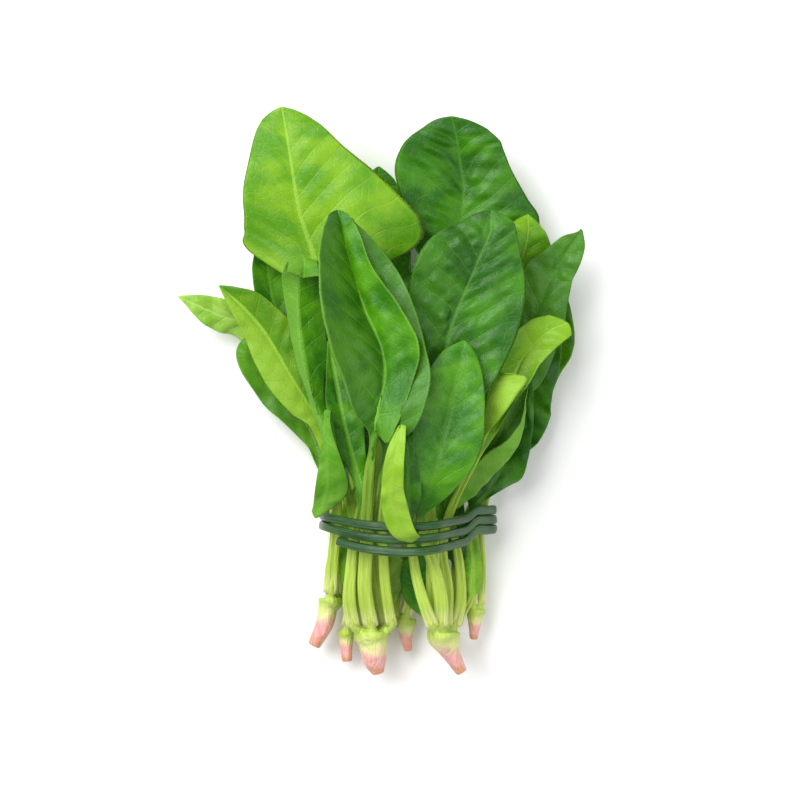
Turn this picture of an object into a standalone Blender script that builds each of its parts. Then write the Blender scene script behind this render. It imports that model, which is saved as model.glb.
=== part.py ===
"""A bunch of six spinach plants, tied with a green band and laid down on its back.

The bunch lies along +Y, leaf tips at +Y and roots at -Y, on a table at z = 0. Every leaf is one solid: a
channelled petiole that widens into a thin blade. The leaves are laid down in the order of the list, and each
one is raised just enough to clear what already lies under it, as leaves do. All lengths are in millimetres
until a mesh is made.
"""

import math

import bmesh
import bpy
import numpy as np
from mathutils import Vector

MM = 0.001

# Driving dimensions.
PETIOLE_WIDTH = 4.8
PETIOLE_THICKNESS = 3.6
PETIOLE_FLARE = 1.35
BLADE_HALF_THICKNESS = 0.55
RIB_HALF_THICKNESS = 1.3
CLEARANCE = 0.6
TIE_RADIUS = 2.1
TIE_GAP = 0.4
TIE_TURNS = 2.46
TIE_PITCH = 4.9
TIE_SAG = 6.0
TIE_SAG_GROWTH = 0.2
TIE_START_Y = -59.0
TIE_POINTS_PER_TURN = 28
CROWN_GAP = 1.4

# Each leaf is a grid: rows from the crown to the tip, columns from its left margin to its right one.
PETIOLE_ROWS = 5
BLADE_ROWS = 8
COLUMNS = np.array([-1.0, -0.58, -0.14, 0.0, 0.14, 0.58, 1.0])
MIDDLE = len(COLUMNS) // 2

# The height map that the leaves are laid on: one cell in x and y, and how far it reaches.
CELL = 0.5
REACH = 180.0
SAMPLES = 30


def smooth_points(points, count):
    """count points, evenly spread in parameter, on a Catmull-Rom curve through the given points."""
    p = np.asarray(points, float)
    p = np.concatenate([[2 * p[0] - p[1]], p, [2 * p[-1] - p[-2]]])
    t = np.linspace(0, len(p) - 3, count)
    i = np.minimum(t.astype(int), len(p) - 4)
    f = (t - i).reshape([-1] + [1] * (p.ndim - 1))
    a, b, c, d = p[i], p[i + 1], p[i + 2], p[i + 3]
    return 0.5 * (2 * b + (c - a) * f + (2 * a - 5 * b + 4 * c - d) * f**2 + (3 * b - a - 3 * c + d) * f**3)


def even_points(points, count):
    """count points on the same curve, evenly spread in length."""
    fine = smooth_points(points, 40 * len(points))
    run = np.concatenate([[0], np.cumsum(np.linalg.norm(np.diff(fine, axis=0), axis=1))])
    wanted = np.linspace(0, run[-1], count)
    return np.stack([np.interp(wanted, run, fine[:, k]) for k in range(3)], axis=1)


def unit(v):
    return v / np.maximum(np.linalg.norm(v, axis=-1, keepdims=True), 1e-9)


def blade_row(row, bow):
    """One blade row as (left, left control, rib, right control, right), the margins' heights made absolute."""
    points = [np.array(p, float) for p in row]
    rib = points[len(points) // 2]
    for p in points:
        if p is not rib:
            p[2] += rib[2]
    if len(points) == 5:
        return np.array(points)
    left, _, right = points
    up = np.array([0, 0, 1.0])
    left_control = (left + rib) / 2 + up * bow * np.linalg.norm(left - rib)
    right_control = (right + rib) / 2 + up * bow * np.linalg.norm(right - rib)
    return np.array([left, left_control, rib, right_control, right])


def blade_grid(rows, bow):
    """Mid-surface of a blade: each half of a row is a quadratic curve from the rib to the margin."""
    rails = smooth_points([blade_row(row, bow) for row in rows], BLADE_ROWS)
    grid = np.empty((BLADE_ROWS, len(COLUMNS), 3))
    for j, s in enumerate(COLUMNS):
        margin, control = (0, 1) if s < 0 else (4, 3)
        w = abs(s)
        grid[:, j] = (1 - w) ** 2 * rails[:, 2] + 2 * w * (1 - w) * rails[:, control] + w**2 * rails[:, margin]
    return grid


def petiole_grid(stem, side_at_blade, width):
    """Mid-surface of a petiole: a strip along the stem, wider at the crown."""
    line = even_points(stem, PETIOLE_ROWS + 1)[:-1]
    along = unit(np.gradient(line, axis=0))
    side = unit(np.cross(along, [0, 0, 1.0]))
    turn = np.linspace(0, 1, PETIOLE_ROWS)[:, None] ** 2
    side = unit(side * (1 - turn) + side_at_blade * turn)
    half = width / 2 * np.linspace(PETIOLE_FLARE, 0.85, PETIOLE_ROWS)[:, None, None]
    return line[:, None] + side[:, None] * half * COLUMNS[None, :, None]


def leaf_grid(spec):
    blade = blade_grid(spec["rows"], spec["bow"])
    side = unit(blade[0, -1] - blade[0, 0])
    (x, _, z), *others = spec["stem"]
    stem = [(x, PLANTS[spec["plant"]]["top_y"], z)] + others + [tuple(blade[0, MIDDLE])]
    return np.concatenate([petiole_grid(stem, side, spec["width"]), blade])


def half_thickness(width):
    """Half of the thickness at every grid point. Margins are sharp."""
    petiole = PETIOLE_THICKNESS / 2 * width / PETIOLE_WIDTH * np.sqrt(1 - COLUMNS**2)
    blade = np.full((BLADE_ROWS, len(COLUMNS)), BLADE_HALF_THICKNESS)
    blade[:, MIDDLE] = np.linspace(RIB_HALF_THICKNESS, BLADE_HALF_THICKNESS, BLADE_ROWS)
    blade[:, [0, -1]] = 0
    taper = np.linspace(1, 0.9, PETIOLE_ROWS)[:, None]
    return np.concatenate([petiole * taper, blade])


def normals(grid):
    along = np.gradient(grid, axis=0)
    across = np.gradient(grid, axis=1)
    return unit(np.cross(across, along))


def faces_of(grid, half):
    """The upper and lower faces of a leaf, as two grids."""
    out = normals(grid) * half[..., None]
    return grid + out, grid - out


class HeightMap:
    """How high the pile stands at each place on the table."""

    def __init__(self):
        count = int(2 * REACH / CELL) + 1
        self.z = np.full((count, count), 0.0)

    def cells(self, points):
        ij = np.clip(((points[..., :2] + REACH) / CELL).round().astype(int), 1, len(self.z) - 2)
        return ij[..., 0], ij[..., 1]

    def raise_to(self, points):
        np.maximum.at(self.z, self.cells(points), points[..., 2])

    def around(self):
        """The height map with each cell as high as the highest of its eight neighbours."""
        wide = np.maximum(self.z, np.maximum(np.roll(self.z, 1, 0), np.roll(self.z, -1, 0)))
        return np.maximum(wide, np.maximum(np.roll(wide, 1, 1), np.roll(wide, -1, 1)))


def face_points(face):
    """Points all over a face, by cell: each cell is two triangles, cut from its first corner to its last."""
    u, v = np.meshgrid(*[np.linspace(0, 1, SAMPLES)] * 2, indexing="ij")
    u, v = u[..., None], v[..., None]
    a, b = face[:-1, :-1, None, None], face[:-1, 1:, None, None]
    c, d = face[1:, :-1, None, None], face[1:, 1:, None, None]
    return np.where(v >= u, a + v * (b - a) + u * (d - b), a + u * (c - a) + v * (d - c))


def lift_needed(grid, half, pile):
    """How far each grid point has to rise so that every cell touching it clears the pile."""
    need = np.zeros(grid.shape[:2])
    high = pile.around()
    for face in faces_of(grid, half):
        points = face_points(face)
        gap = high[pile.cells(points)] + CLEARANCE - points[..., 2]
        worst = gap.max(axis=(2, 3))
        for corner in (need[:-1, :-1], need[:-1, 1:], need[1:, :-1], need[1:, 1:]):
            np.maximum(corner, worst, out=corner)
    return need


def relaxed(need, first):
    """A smooth rise, from the given row on, that is nowhere less than needed."""
    rise = need.copy()
    for _ in range(60):
        padded = np.pad(rise, 1, mode="edge")
        rows = (padded[:-2, 1:-1] + padded[2:, 1:-1]) / 2
        columns = (padded[1:-1, :-2] + padded[1:-1, 2:]) / 2
        calm = 0.985 * (0.5 * rows + 0.5 * columns)
        rise[first:] = np.maximum(need, calm)[first:]
        rise[:PETIOLE_ROWS] = rise[:PETIOLE_ROWS].max(axis=1, keepdims=True)
    return rise


def lay(grid, half, pile, first=0):
    """Raises a leaf, from the given row to its tip, until it clears the pile."""
    grid = grid.copy()
    for _ in range(4):
        need = np.zeros(grid.shape[:2])
        need[first:] = lift_needed(grid[first:], half[first:], pile)
        grid[..., 2] += relaxed(need, first)
    return grid


def add_to_pile(grid, half, pile):
    for face in faces_of(grid, half):
        pile.raise_to(face_points(face))


def leaf_mesh(grid, half):
    """Vertices and triangles of a leaf's solid, both faces cut the same way, with a fan on each end."""
    upper, lower = faces_of(grid, half)
    columns = len(COLUMNS)
    ring = 2 * columns - 2
    vertices = np.concatenate([upper, lower[:, -2:0:-1]], axis=1).reshape(-1, 3)
    above = np.arange(columns)
    below = (ring - above) % ring
    below[-1] = above[-1]
    faces = []
    for row in range(len(grid) - 1):
        for j in range(columns - 1):
            a, b = row * ring + above[j], row * ring + above[j + 1]
            faces += [(a, b, b + ring), (a, b + ring, a + ring)]
            a, b = row * ring + below[j], row * ring + below[j + 1]
            faces += [(a, b + ring, b), (a, a + ring, b + ring)]
    for row, order in ((0, -1), (len(grid) - 1, 1)):
        centre = len(vertices)
        first = row * ring
        vertices = np.concatenate([vertices, [vertices[first : first + ring].mean(axis=0)]])
        faces += [(first + j, first + (j + 1) % ring, centre)[::order] for j in range(ring)]
    return vertices, faces


def material(name, colour, roughness):
    made = bpy.data.materials.new(name)
    made.use_nodes = True
    shader = made.node_tree.nodes["Principled BSDF"]
    shader.inputs["Base Color"].default_value = (*colour, 1)
    shader.inputs["Roughness"].default_value = roughness
    return made


def add_object(name, vertices, faces, paint):
    mesh = bpy.data.meshes.new(name)
    mesh.from_pydata([tuple(c * MM for c in v) for v in vertices], [], faces)
    shape = bmesh.new()
    shape.from_mesh(mesh)
    bmesh.ops.recalc_face_normals(shape, faces=shape.faces)
    shape.to_mesh(mesh)
    shape.free()
    mesh.materials.append(paint)
    mesh.shade_smooth()
    made = bpy.data.objects.new(name, mesh)
    bunch.objects.link(made)
    return made


def leaf(name, plant, stem, rows, tone="green", bow=0.08, width=PETIOLE_WIDTH, hangs=False):
    """A leaf's shape as it would hang freely: a stem line, then rows of (left margin, rib, right margin).

    A margin's height is counted from the rib's. A row of five also places the controls between them. A leaf that
    hangs has its petiole inside the band and its blade folded back over it.
    """
    return {"name": name, "plant": plant, "stem": stem, "rows": rows, "tone": tone, "bow": bow, "width": width,
            "hangs": hangs}


def narrow(x, y, z, half=2.6):
    """The first blade row: hardly wider than the petiole."""
    return ((x - half, y, 0), (x, y, z), (x + half, y, 0))


def tip(x, y, z, half=1.2):
    return ((x - half, y - half, 0), (x, y, z), (x + half, y - half, 0))


# Looks.
LEAF_ROUGHNESS = 0.5
CROWN_COLOUR, CROWN_ROUGHNESS = (0.75, 0.42, 0.34), 0.55
TIE_COLOUR, TIE_ROUGHNESS = (0.05, 0.16, 0.05), 0.35
LEAF_COLOURS = {"bright": (0.22, 0.5, 0.02), "green": (0.09, 0.27, 0.02), "dark": (0.03, 0.15, 0.02),
                "pale": (0.36, 0.58, 0.13)}

REAR_LEAVES = [
    leaf(
        "rear_centre_leaf", "rear_left_plant", tone="dark",
        stem=[(-15, -119, 7), (-9, -95, 7), (-4, -72, 7)],
        rows=[narrow(-3, -50, 3),
         ((-26, -22, 3), (-4, -18, 0.5), (18, -22, 3)),
         ((-36, 20, 4), (-6, 20, 0.5), (26, 18, 4)),
         ((-34, 55, 5), (-8, 52, 1.5), (20, 52, 5)),
         ((-22, 82, 4), (-10, 80, 3.5), (4, 80, 4)),
         tip(-11, 96, 4)],
    ),
    leaf(
        "rear_right_leaf", "rear_middle_plant", tone="green",
        stem=[(10, -113, 7), (16, -92, 7), (20, -72, 7)],
        rows=[narrow(24, -51, 3),
         ((14, -28, 3), (34, -26, 0.5), (56, -36, 3)),
         ((22, 12, 4), (46, 14, 0.5), (70, 4, 4)),
         ((32, 46, 4), (54, 46, 1.5), (78, 38, 4)),
         ((46, 68, 3), (60, 70, 2.5), (76, 66, 3)),
         tip(65, 84, 3)],
    ),
    leaf(
        "rear_left_leaf", "left_plant", tone="green",
        stem=[(-22, -104, 7), (-20, -88, 7), (-18, -72, 7)],
        rows=[narrow(-21, -50, 3),
         ((-38, -25, 3), (-29, -26, 0.5), (-18, -16, 3)),
         ((-58, 5, 4), (-44, 4, 0.5), (-22, 18, 4)),
         ((-64, 26, 3), (-54, 28, 1.5), (-36, 42, 4)),
         tip(-62, 46, 2)],
    ),
    leaf(
        "far_left_leaf", "left_plant", tone="pale",
        stem=[(-24, -103, 9), (-22, -86, 10), (-19, -70, 12), (-28, -42, 10)],
        rows=[narrow(-42, -9, 10),
         ((-58, 8, 0), (-50, 9, 12), (-43, 14, 0)),
         ((-71, 27, -2), (-65, 33, 16), (-59, 41, 2)),
         ((-83, 31, -3), (-80, 39, 20), (-78, 47.5, 3)),
         ((-93, 38.5, -2), (-92, 44, 22), (-90, 49.5, 2)),
         ((-101, 47, 0), (-102, 48.5, 22), (-100, 49.5, 0))],
    ),
    leaf(
        "low_left_leaf", "left_plant", tone="green",
        stem=[(-26, -105, 8), (-25, -88, 10), (-22, -70, 12), (-27, -48, 12)],
        rows=[narrow(-32, -31, 12),
         ((-43, -21, 2), (-37, -18, 12), (-28, -9, 0)),
         ((-56, -9.5, 3), (-46, -4, 12), (-34, 8, 0)),
         ((-65, 2, 3), (-54, 8, 13), (-42, 20, 0)),
         ((-73.5, 17, 3), (-62, 20, 14), (-52, 32, 0)),
         ((-69, 28, 0), (-65, 31, 14), (-60, 33, 0))],
    ),
    leaf(
        "rear_tip_leaf", "rear_left_plant", tone="green",
        stem=[(-12, -120, 9), (-7, -95, 11), (-3, -70, 12), (0, -30, 14)],
        rows=[narrow(0, 12, 18),
         ((-14, 40, 0), (0, 40, 18), (14, 40, 0)),
         ((-16, 75, 1), (-1, 75, 20), (15, 75, 1)),
         ((-11, 100, 1), (-1, 99, 22), (12, 97, 1)),
         ((-7, 110, 0), (-1, 112, 23), (7, 108, 0))],
    ),
    leaf(
        "rear_edge_leaf", "right_plant", tone="green",
        stem=[(47, -112, 7), (46, -92, 9), (42, -70, 12), (52, -46, 10)],
        rows=[narrow(58, -36, 8),
         ((60, -14, 0), (68, -16, 9), (76, -20, 0)),
         ((68, 12, 0), (80, 10, 10), (89, 6, 2)),
         ((76, 36, 0), (86, 28, 12), (97.5, 21, 3)),
         ((84, 52, 0), (90, 46, 14), (97.5, 36, 2)),
         tip(92, 56, 14)],
    ),
    leaf(
        "veined_right_leaf", "right_plant", tone="dark",
        stem=[(49, -111, 9), (49, -92, 10), (46, -70, 12), (54, -50, 12)],
        rows=[narrow(58, -43, 12),
         ((50, -22, 0), (65, -30, 13), (77, -28, 1)),
         ((58, 5, 0), (72, -10, 14), (85, -15, 2)),
         ((66, 28, 0), (78, 12, 16), (87.5, 2, 3)),
         ((72, 44, 0), (82, 32, 18), (92, 22, 2)),
         tip(88, 46, 18)],
    ),
    leaf(
        "top_right_leaf", "rear_middle_plant", tone="dark",
        stem=[(8, -115, 9), (12, -92, 11), (14, -70, 12), (24, -22, 16), (33, 28, 24)],
        rows=[narrow(36, 50, 29),
         ((16, 75, 5), (40, 73, 30), (79, 77, -2)),
         ((14, 91, 6), (41, 90, 31), (78, 91, 0)),
         ((7, 106, 8), (42, 103, 31), (70, 104, 3)),
         ((9, 120, 8), (40, 115, 33), (62.5, 120, 5)),
         ((13, 127, 4), (39, 124, 37), (60.5, 126, 3)),
         ((22, 134, 0), (37, 133.5, 40), (54, 132.5, 0))],
    ),
    leaf(
        "pale_shoulder_leaf", "rear_middle_plant", tone="bright",
        stem=[(13, -114, 9), (20, -92, 11), (27, -70, 12), (40, -30, 14)],
        rows=[narrow(52, 6, 24),
         ((44, 30, 0), (60, 32, 22), (78, 30, 0)),
         ((52, 58, 0), (68, 58, 25), (86, 56, 0)),
         ((60, 78, 0), (73, 76, 32), (86, 74, 0)),
         ((66, 85.5, 0), (74, 87, 33), (81, 83.5, 0))],
    ),
    leaf(
        "pointed_right_leaf", "right_plant", tone="dark",
        stem=[(50, -113, 11), (51, -92, 13), (49, -70, 15), (58, -36, 20)],
        rows=[narrow(66, -6, 26),
         ((57, 18, 0), (72, 15, 28), (83, 8, 0)),
         ((60, 40, 0), (78, 38, 31), (93.5, 38, 2)),
         ((70, 62, 2), (85, 56, 34), (95, 53, 3)),
         ((80, 70, 3), (92, 68, 38), (99, 63, 3)),
         ((90, 78, 2), (97, 76, 40), (102.5, 72, 1)),
         tip(100.5, 82, 41)],
    ),
    leaf(
        "low_right_leaf", "right_plant", tone="dark",
        stem=[(46, -114, 9), (44, -92, 12), (40, -72, 15), (44, -62, 18)],
        rows=[narrow(47, -57, 20),
         ((42, -44, 2), (55, -48, 22), (58, -50, 0)),
         ((54, -28, 4), (62, -36, 24), (70, -45, 0)),
         ((62, -12, 5), (69, -20, 26), (75.5, -28, 1)),
         ((68, 4, 4), (73, -3, 27), (77, -10, 1)),
         tip(75, 10, 27)],
    ),
    leaf(
        "curled_left_leaf", "left_plant", tone="green",
        stem=[(-20, -103, 11), (-17, -86, 13), (-12, -70, 15), (-30, -20, 22), (-44, 12, 28)],
        rows=[narrow(-48, 16, 32, 4.5),
         ((-60, 40, 2), (-52, 38, 34), (-42, 34, 0)),
         ((-65, 55, 5), (-56, 54, 36), (-43, 50, 0)),
         ((-65, 67, 4), (-57, 67, 38), (-44, 64, 0)),
         ((-62, 76, 0), (-56, 77, 39), (-48, 74, 0))],
        bow=-0.1,
    ),
    leaf(
        "top_left_leaf", "rear_left_plant", tone="bright",
        stem=[(-17, -121, 10), (-13, -96, 13), (-9, -70, 15), (-18, -20, 26), (-26, 25, 40)],
        rows=[narrow(-30, 46, 46),
         ((-69, 74, -3), (-34, 71, 48), (21, 76, -5)),
         ((-66.5, 83, -1), (-38, 82, 50), (18, 88, -3)),
         ((-69, 94, 0), (-41, 93, 52), (6, 103, 0)),
         ((-67, 110, 1), (-43.5, 108, 54), (-13, 118.5, 1)),
         ((-63.5, 126, 0), (-46, 124, 55), (-25.5, 130, 0)),
         ((-59, 136.5, -1), (-48.5, 138.5, 55), (-34.5, 137.5, -1))],
    ),
    leaf(
        "bright_left_leaf", "left_plant", tone="bright",
        stem=[(-23, -106, 12), (-21, -88, 14), (-17, -70, 17), (-22, -48, 24)],
        rows=[narrow(-26, -33, 32),
         ((-37, -15, 2), (-32, -14, 34), (-24, -6, 2)),
         ((-48, -8, 3), (-40, 0, 36), (-30, 12, 2)),
         ((-61, 10, 3), (-49, 15, 39), (-38, 28, 1)),
         ((-66, 24, 3), (-57, 29, 42), (-47, 38, 2)),
         ((-73, 38, 2), (-68, 42, 45), (-60, 49.5, 3)),
         ((-79.5, 50, 1), (-80, 53, 46), (-74, 53.5, 1))],
    ),
]

FRONT_LEAVES = [
    leaf(
        "inner_pale_leaf", "front_plant", tone="pale",
        stem=[(-1, -128, 12), (-1, -112, 14)],
        rows=[narrow(0, -111, 16, 2.4),
         ((-4.5, -106, 0), (1.5, -106, 18), (8, -106, 0)),
         ((-6, -96, 1), (3, -96, 20), (11, -97, 1)),
         ((-6, -86, 1), (3, -86, 22), (12, -86, 1)),
         tip(3, -75, 24)],
        width=3.6,
    ),
    leaf(
        "inner_dark_leaf", "front_right_plant", tone="green",
        stem=[(26, -126, 12), (24, -113, 14)],
        rows=[narrow(22, -112, 16, 2.6),
         ((13, -106, 1), (19, -106, 18), (25, -107, 1)),
         ((10, -97, 2), (17, -97, 20), (25, -97, 2)),
         ((11, -86, 1), (18, -86, 22), (26, -86, 1)),
         tip(18, -75, 24)],
        width=3.6,
    ),
    leaf(
        "inner_left_leaf", "front_plant", tone="bright",
        stem=[(-9, -128, 12), (-13, -110, 15), (-16, -101, 18)],
        rows=[narrow(-17, -96, 18, 1.8),
         ((-21, -88, 0), (-16, -88, 20), (-10, -88, 0)),
         ((-21.5, -76, 0), (-16, -76, 22), (-9, -76, 0)),
         ((-20, -64, 1), (-15, -64, 24), (-10, -64, 1)),
         ((-18.5, -54, 2), (-13.5, -54, 27), (-9, -55, 2)),
         tip(-12, -46, 30)],
        width=4.0,
    ),
    leaf(
        "inner_right_leaf", "front_right_plant", tone="bright",
        stem=[(38, -129, 12), (41, -111, 14), (44.5, -106, 16)],
        rows=[narrow(46, -102, 18, 2.2),
         ((41, -96, 1), (46, -96, 20), (51, -97, 0)),
         ((41, -84, 1), (46.5, -84, 22), (51, -85, 0)),
         ((42, -72, 1), (45.5, -72, 24), (48.5, -73, 0)),
         tip(45, -60, 26)],
        width=4.6,
    ),
    leaf(
        "tucked_right_leaf", "front_right_plant", tone="dark",
        stem=[(35, -127, 14), (36, -112, 17), (37.5, -96, 20)],
        rows=[narrow(38, -85, 22),
         ((30, -82, 0), (37, -80, 24), (43.5, -82.5, 0)),
         ((30, -70, 0), (36, -70, 26), (43, -70, 0)),
         ((28, -58, 1), (35, -57, 28), (42, -57, 1)),
         ((28, -47, 1), (34, -45, 32), (40, -47, 1)),
         tip(33, -36, 36)],
    ),
    leaf(
        "hooded_leaf", "front_plant", tone="green",
        stem=[(-11, -130, 13), (-14, -112, 18), (-14, -92, 22), (-12, -72, 26), (-18, -45, 40)],
        width=5.6,
        rows=[narrow(-26, -22, 50),
         ((-39, 4, -4), (-35, 2, 55), (-28, 2, -3)),
         ((-44, 24, -4), (-39, 24, 58), (-26.5, 24, -5)),
         ((-48, 46, -4), (-41, 44, 60), (-28, 44, -5)),
         ((-49, 59, -1), (-40, 60, 62), (-28.5, 57, -2)),
         ((-46, 66, 2), (-38, 68, 66), (-31, 65.5, 2)),
         ((-46, 60, 4), (-38, 57, 72), (-30, 58, 3))],
    ),
    leaf(
        "middle_left_leaf", "front_plant", tone="green",
        stem=[(-14, -129, 15), (-16, -112, 20), (-15, -92, 24), (-13, -72, 28), (-10.5, -60, 38)],
        width=5.4,
        rows=[narrow(-9.5, -49, 50, 2.2),
         ((-18, -35, 1), (-13, -35, 54), (-7, -36, 0)),
         ((-24, -20, 2), (-17, -19, 58), (-8, -20, 1)),
         ((-27, -8, 2), (-20, -6, 60), (-10, -8, 3)),
         ((-27, 5, 2), (-22, 6, 61), (-17, 3, 2)),
         ((-26.5, 16, 1), (-24, 16, 61), (-21, 14, 1)),
         tip(-25.5, 26, 61)],
    ),
    leaf(
        "rolled_right_leaf", "front_right_plant", tone="green",
        stem=[(37, -127, 15), (40, -108, 18), (40, -90, 20), (37, -72, 24)],
        rows=[narrow(32, -61, 28, 4.5),
         ((29.5, -47, 0), (32, -50, 0), (38, -53, 30), (48, -58, 2), (31, -54, 7)),
         ((44, -30, 0), (46, -32, 0), (51, -38, 34), (63, -45, 3), (45, -38, 9)),
         ((54, -14, 0), (57, -16, 0), (61, -24, 36), (73, -33, 4), (56, -27, 9)),
         ((62, 2, 0), (64, 0, 0), (68, -8, 38), (75, -15, 2), (69, -18, 7)),
         ((70, 12, 0), (71, 10, 0), (72, 6, 39), (74, 4, 1), (74, 2, 2))],
    ),
    leaf(
        "funnel_leaf", "front_right_plant", tone="bright",
        stem=[(33, -128, 17), (34, -108, 20), (33, -90, 23), (31, -72, 26), (40, -48, 36)],
        rows=[narrow(51, -27, 44),
         ((61, -11, 14), (46, -12, 7), (58, -10, 43), (61, -11, 1), (63, -12, 4)),
         ((69, 0, 18), (43, 3, 9), (64, 2, 43), (67, 1, 1), (70, 0, 4)),
         ((73, 8, 19), (44, 9, 11), (68, 12, 44), (72, 10, 1), (76, 8, 4)),
         ((57, 11, 13), (58, 13, 4), (71, 18, 45), (76, 17, 1), (80, 15, 4)),
         ((63, 26, 8), (68, 25, 1), (77, 25, 47), (82, 24, 1), (86.5, 21, 3)),
         ((74, 36, 2), (79, 34, 1), (84, 31, 50), (88, 29, 1), (91.5, 25.5, 1)),
         ((84, 39, 0), (87, 38, 0), (91, 34, 51), (94, 32, 0), (95.5, 29, -1))],
    ),
    leaf(
        "centre_right_leaf", "front_right_plant", tone="dark",
        stem=[(28, -129, 17), (27, -108, 22), (26, -90, 26), (26, -72, 30), (24, -45, 42)],
        width=5.8,
        rows=[narrow(27, -10, 56),
         ((14, 12, 2), (31, 12, 60), (54, 1, 2)),
         ((13, 34, 4), (36, 36, 62), (68, 30, 3)),
         ((14, 54, 5), (43, 52, 64), (72.5, 50, 3)),
         ((20, 71, 4), (48, 65, 66), (70.5, 65, 2)),
         ((30, 80.5, 2), (54, 78, 67), (68, 79, 1)),
         ((41, 86, 0), (55, 86.5, 67), (66, 85, 0))],
    ),
    leaf(
        "smooth_small_leaf", "front_right_plant", tone="green",
        stem=[(30, -130, 19), (31, -110, 22), (28, -92, 26), (22, -72, 30)],
        width=5.8,
        rows=[narrow(20, -60, 44),
         ((14, -45, 3), (25, -46, 60), (40, -45, 1)),
         ((16, -25, 5), (30, -28, 66), (50, -28, 2)),
         ((19, -5, 6), (35, -8, 69), (52, -8, 2)),
         ((22.5, 9, 4), (38, 9, 70), (51, 7, 1)),
         ((31, 21, 1), (41, 23, 70), (48, 18.5, 0))],
    ),
    leaf(
        "low_front_leaf", "front_right_plant", tone="dark",
        stem=[(26, -129, 19), (24, -112, 22), (18, -92, 26), (15, -72, 30)],
        rows=[narrow(14, -61, 44),
         ((9, -48, 2), (14, -48, 60), (20.5, -50, 0)),
         ((9, -32, 3), (14, -34, 66), (18.5, -36, 1)),
         ((9.5, -18, 3), (14, -20, 69), (17, -22, 1)),
         ((11, -5, 1), (15, -6, 70), (18, -8, 1)),
         tip(15, 5, 70)],
    ),
    leaf(
        "grey_edge_leaf", "front_plant", tone="dark",
        stem=[(2.5, -133, 15), (1, -112, 20), (-1, -92, 26), (-2, -72, 32), (0, -50, 48)],
        width=5.4,
        rows=[narrow(3, -29, 62),
         ((-4, -14, 1), (5, -15, 69), (18, -16, 3)),
         ((-8, 5, 2), (8, 4, 73), (25, 5, 4)),
         ((-8, 24, 3), (6, 24, 75), (22, 24, 4)),
         ((-12, 42, 3), (2, 42, 76), (17.5, 41, 2)),
         ((-18, 58, 3), (-4, 57, 77), (9.5, 59, 1)),
         ((-20, 72, 2), (-11, 72, 77), (-1, 73, 0)),
         tip(-14, 86, 76)],
    ),
    leaf(
        "folded_front_leaf", "front_plant", tone="green",
        stem=[(-5, -134, 17), (-7, -112, 22), (-8, -96, 28), (-7, -72, 34), (-6, -45, 52)],
        rows=[narrow(-3, -21, 68),
         ((-11, -13, 8), (-1, -7, 72), (4, -26, 4)),
         ((-16, 2, 15), (1.5, 5, 73), (13, 0, 7)),
         ((-22, 16, 22), (2.5, 17, 74), (20.5, 17, 9)),
         ((-27, 33, 26), (-4, 31, 75), (15, 33, 10)),
         ((-29, 50, 26), (-10, 48, 76), (5, 50, 10)),
         ((-29.5, 66, 22), (-14.5, 63, 77), (-6, 66, 8)),
         ((-28, 81, 13), (-18.5, 78, 79), (-11, 81, 4)),
         ((-25.5, 88, 3), (-20.5, 88.5, 80), (-15.5, 88, 2))],
        bow=0.0, width=6.0,
    ),
    leaf(
        "hanging_left_leaf", "left_plant", tone="green",
        stem=[(-25, -104, 16), (-25, -90, 20), (-22.5, -72, 24), (-22, -45, 40), (-24, -22, 52)],
        rows=[narrow(-25.5, -10, 57, 1.6),
         ((-28.5, -17, 2), (-26.5, -15, 61), (-23.5, -16, 2)),
         ((-30, -30, 0), (-26, -28, 63), (-20, -30, 0)),
         ((-31.5, -42, -1), (-26, -42, 60), (-16.5, -42, -1)),
         ((-33, -52, -1), (-27, -52, 55), (-17, -52, -2)),
         ((-34.5, -59, 0), (-32, -61.5, 48), (-27, -60, -1))],
        hangs=True,
    ),
    leaf(
        "hanging_front_leaf", "front_plant", tone="bright",
        stem=[(5.5, -132, 17), (4, -112, 22), (2, -92, 28), (1, -72, 34), (3, -45, 56)],
        rows=[narrow(10.5, -17, 76, 1.8),
         ((3, -30, 3), (8, -26, 80), (12.5, -26, 3)),
         ((0.5, -45, 0), (5.5, -45, 79), (11.5, -44, 0)),
         ((0.5, -58, 0), (6.5, -58, 72), (14, -57, 0)),
         ((4, -69, 0), (10.5, -68, 64), (17, -67, 0)),
         ((9, -73, -1), (14.5, -73, 58), (20, -71, 0))],
        width=4.4, hangs=True,
    ),
]

# Each plant: where its petioles meet the crown, the crown's radius, and the root's points with their radii.
# Heights follow from how the petioles lie.
PLANTS = {
    "left_plant": {"top_y": -101, "x": -25.5, "radius": 6.3, "root": [(-28.5, -117, 4.6), (-34, -128, 3.2)]},
    "rear_left_plant": {"top_y": -118, "x": -17.5, "radius": 4.8, "root": [(-17.5, -129, 3.2), (-17, -136, 2.6)]},
    "rear_middle_plant": {"top_y": -112, "x": 12.5, "radius": 5.8, "root": [(13, -124, 3.2), (14, -131, 2.0)]},
    "right_plant": {"top_y": -107, "x": 48, "radius": 5.2, "root": [(47.5, -119, 3.0), (47, -125, 2.0)]},
    "front_plant": {"top_y": -117, "x": -4.5, "radius": 9.2, "root": [(-3, -135, 6.0), (-1, -142, 2.8)]},
    "front_right_plant": {"top_y": -117, "x": 32, "radius": 8.5, "root": [(36, -132, 4.6), (41, -141, 2.8)]},
}


def tie_floor(pile):
    """The band passes under the petioles, so they start a band's thickness above the table there."""
    low_y = TIE_START_Y - TIE_TURNS * TIE_PITCH - 2 * TIE_RADIUS
    high_y = TIE_START_Y + 2 * TIE_RADIUS
    low, high = (int((y + REACH) / CELL) for y in (low_y, high_y))
    pile.z[:, low:high] = 2 * TIE_RADIUS + TIE_GAP


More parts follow.
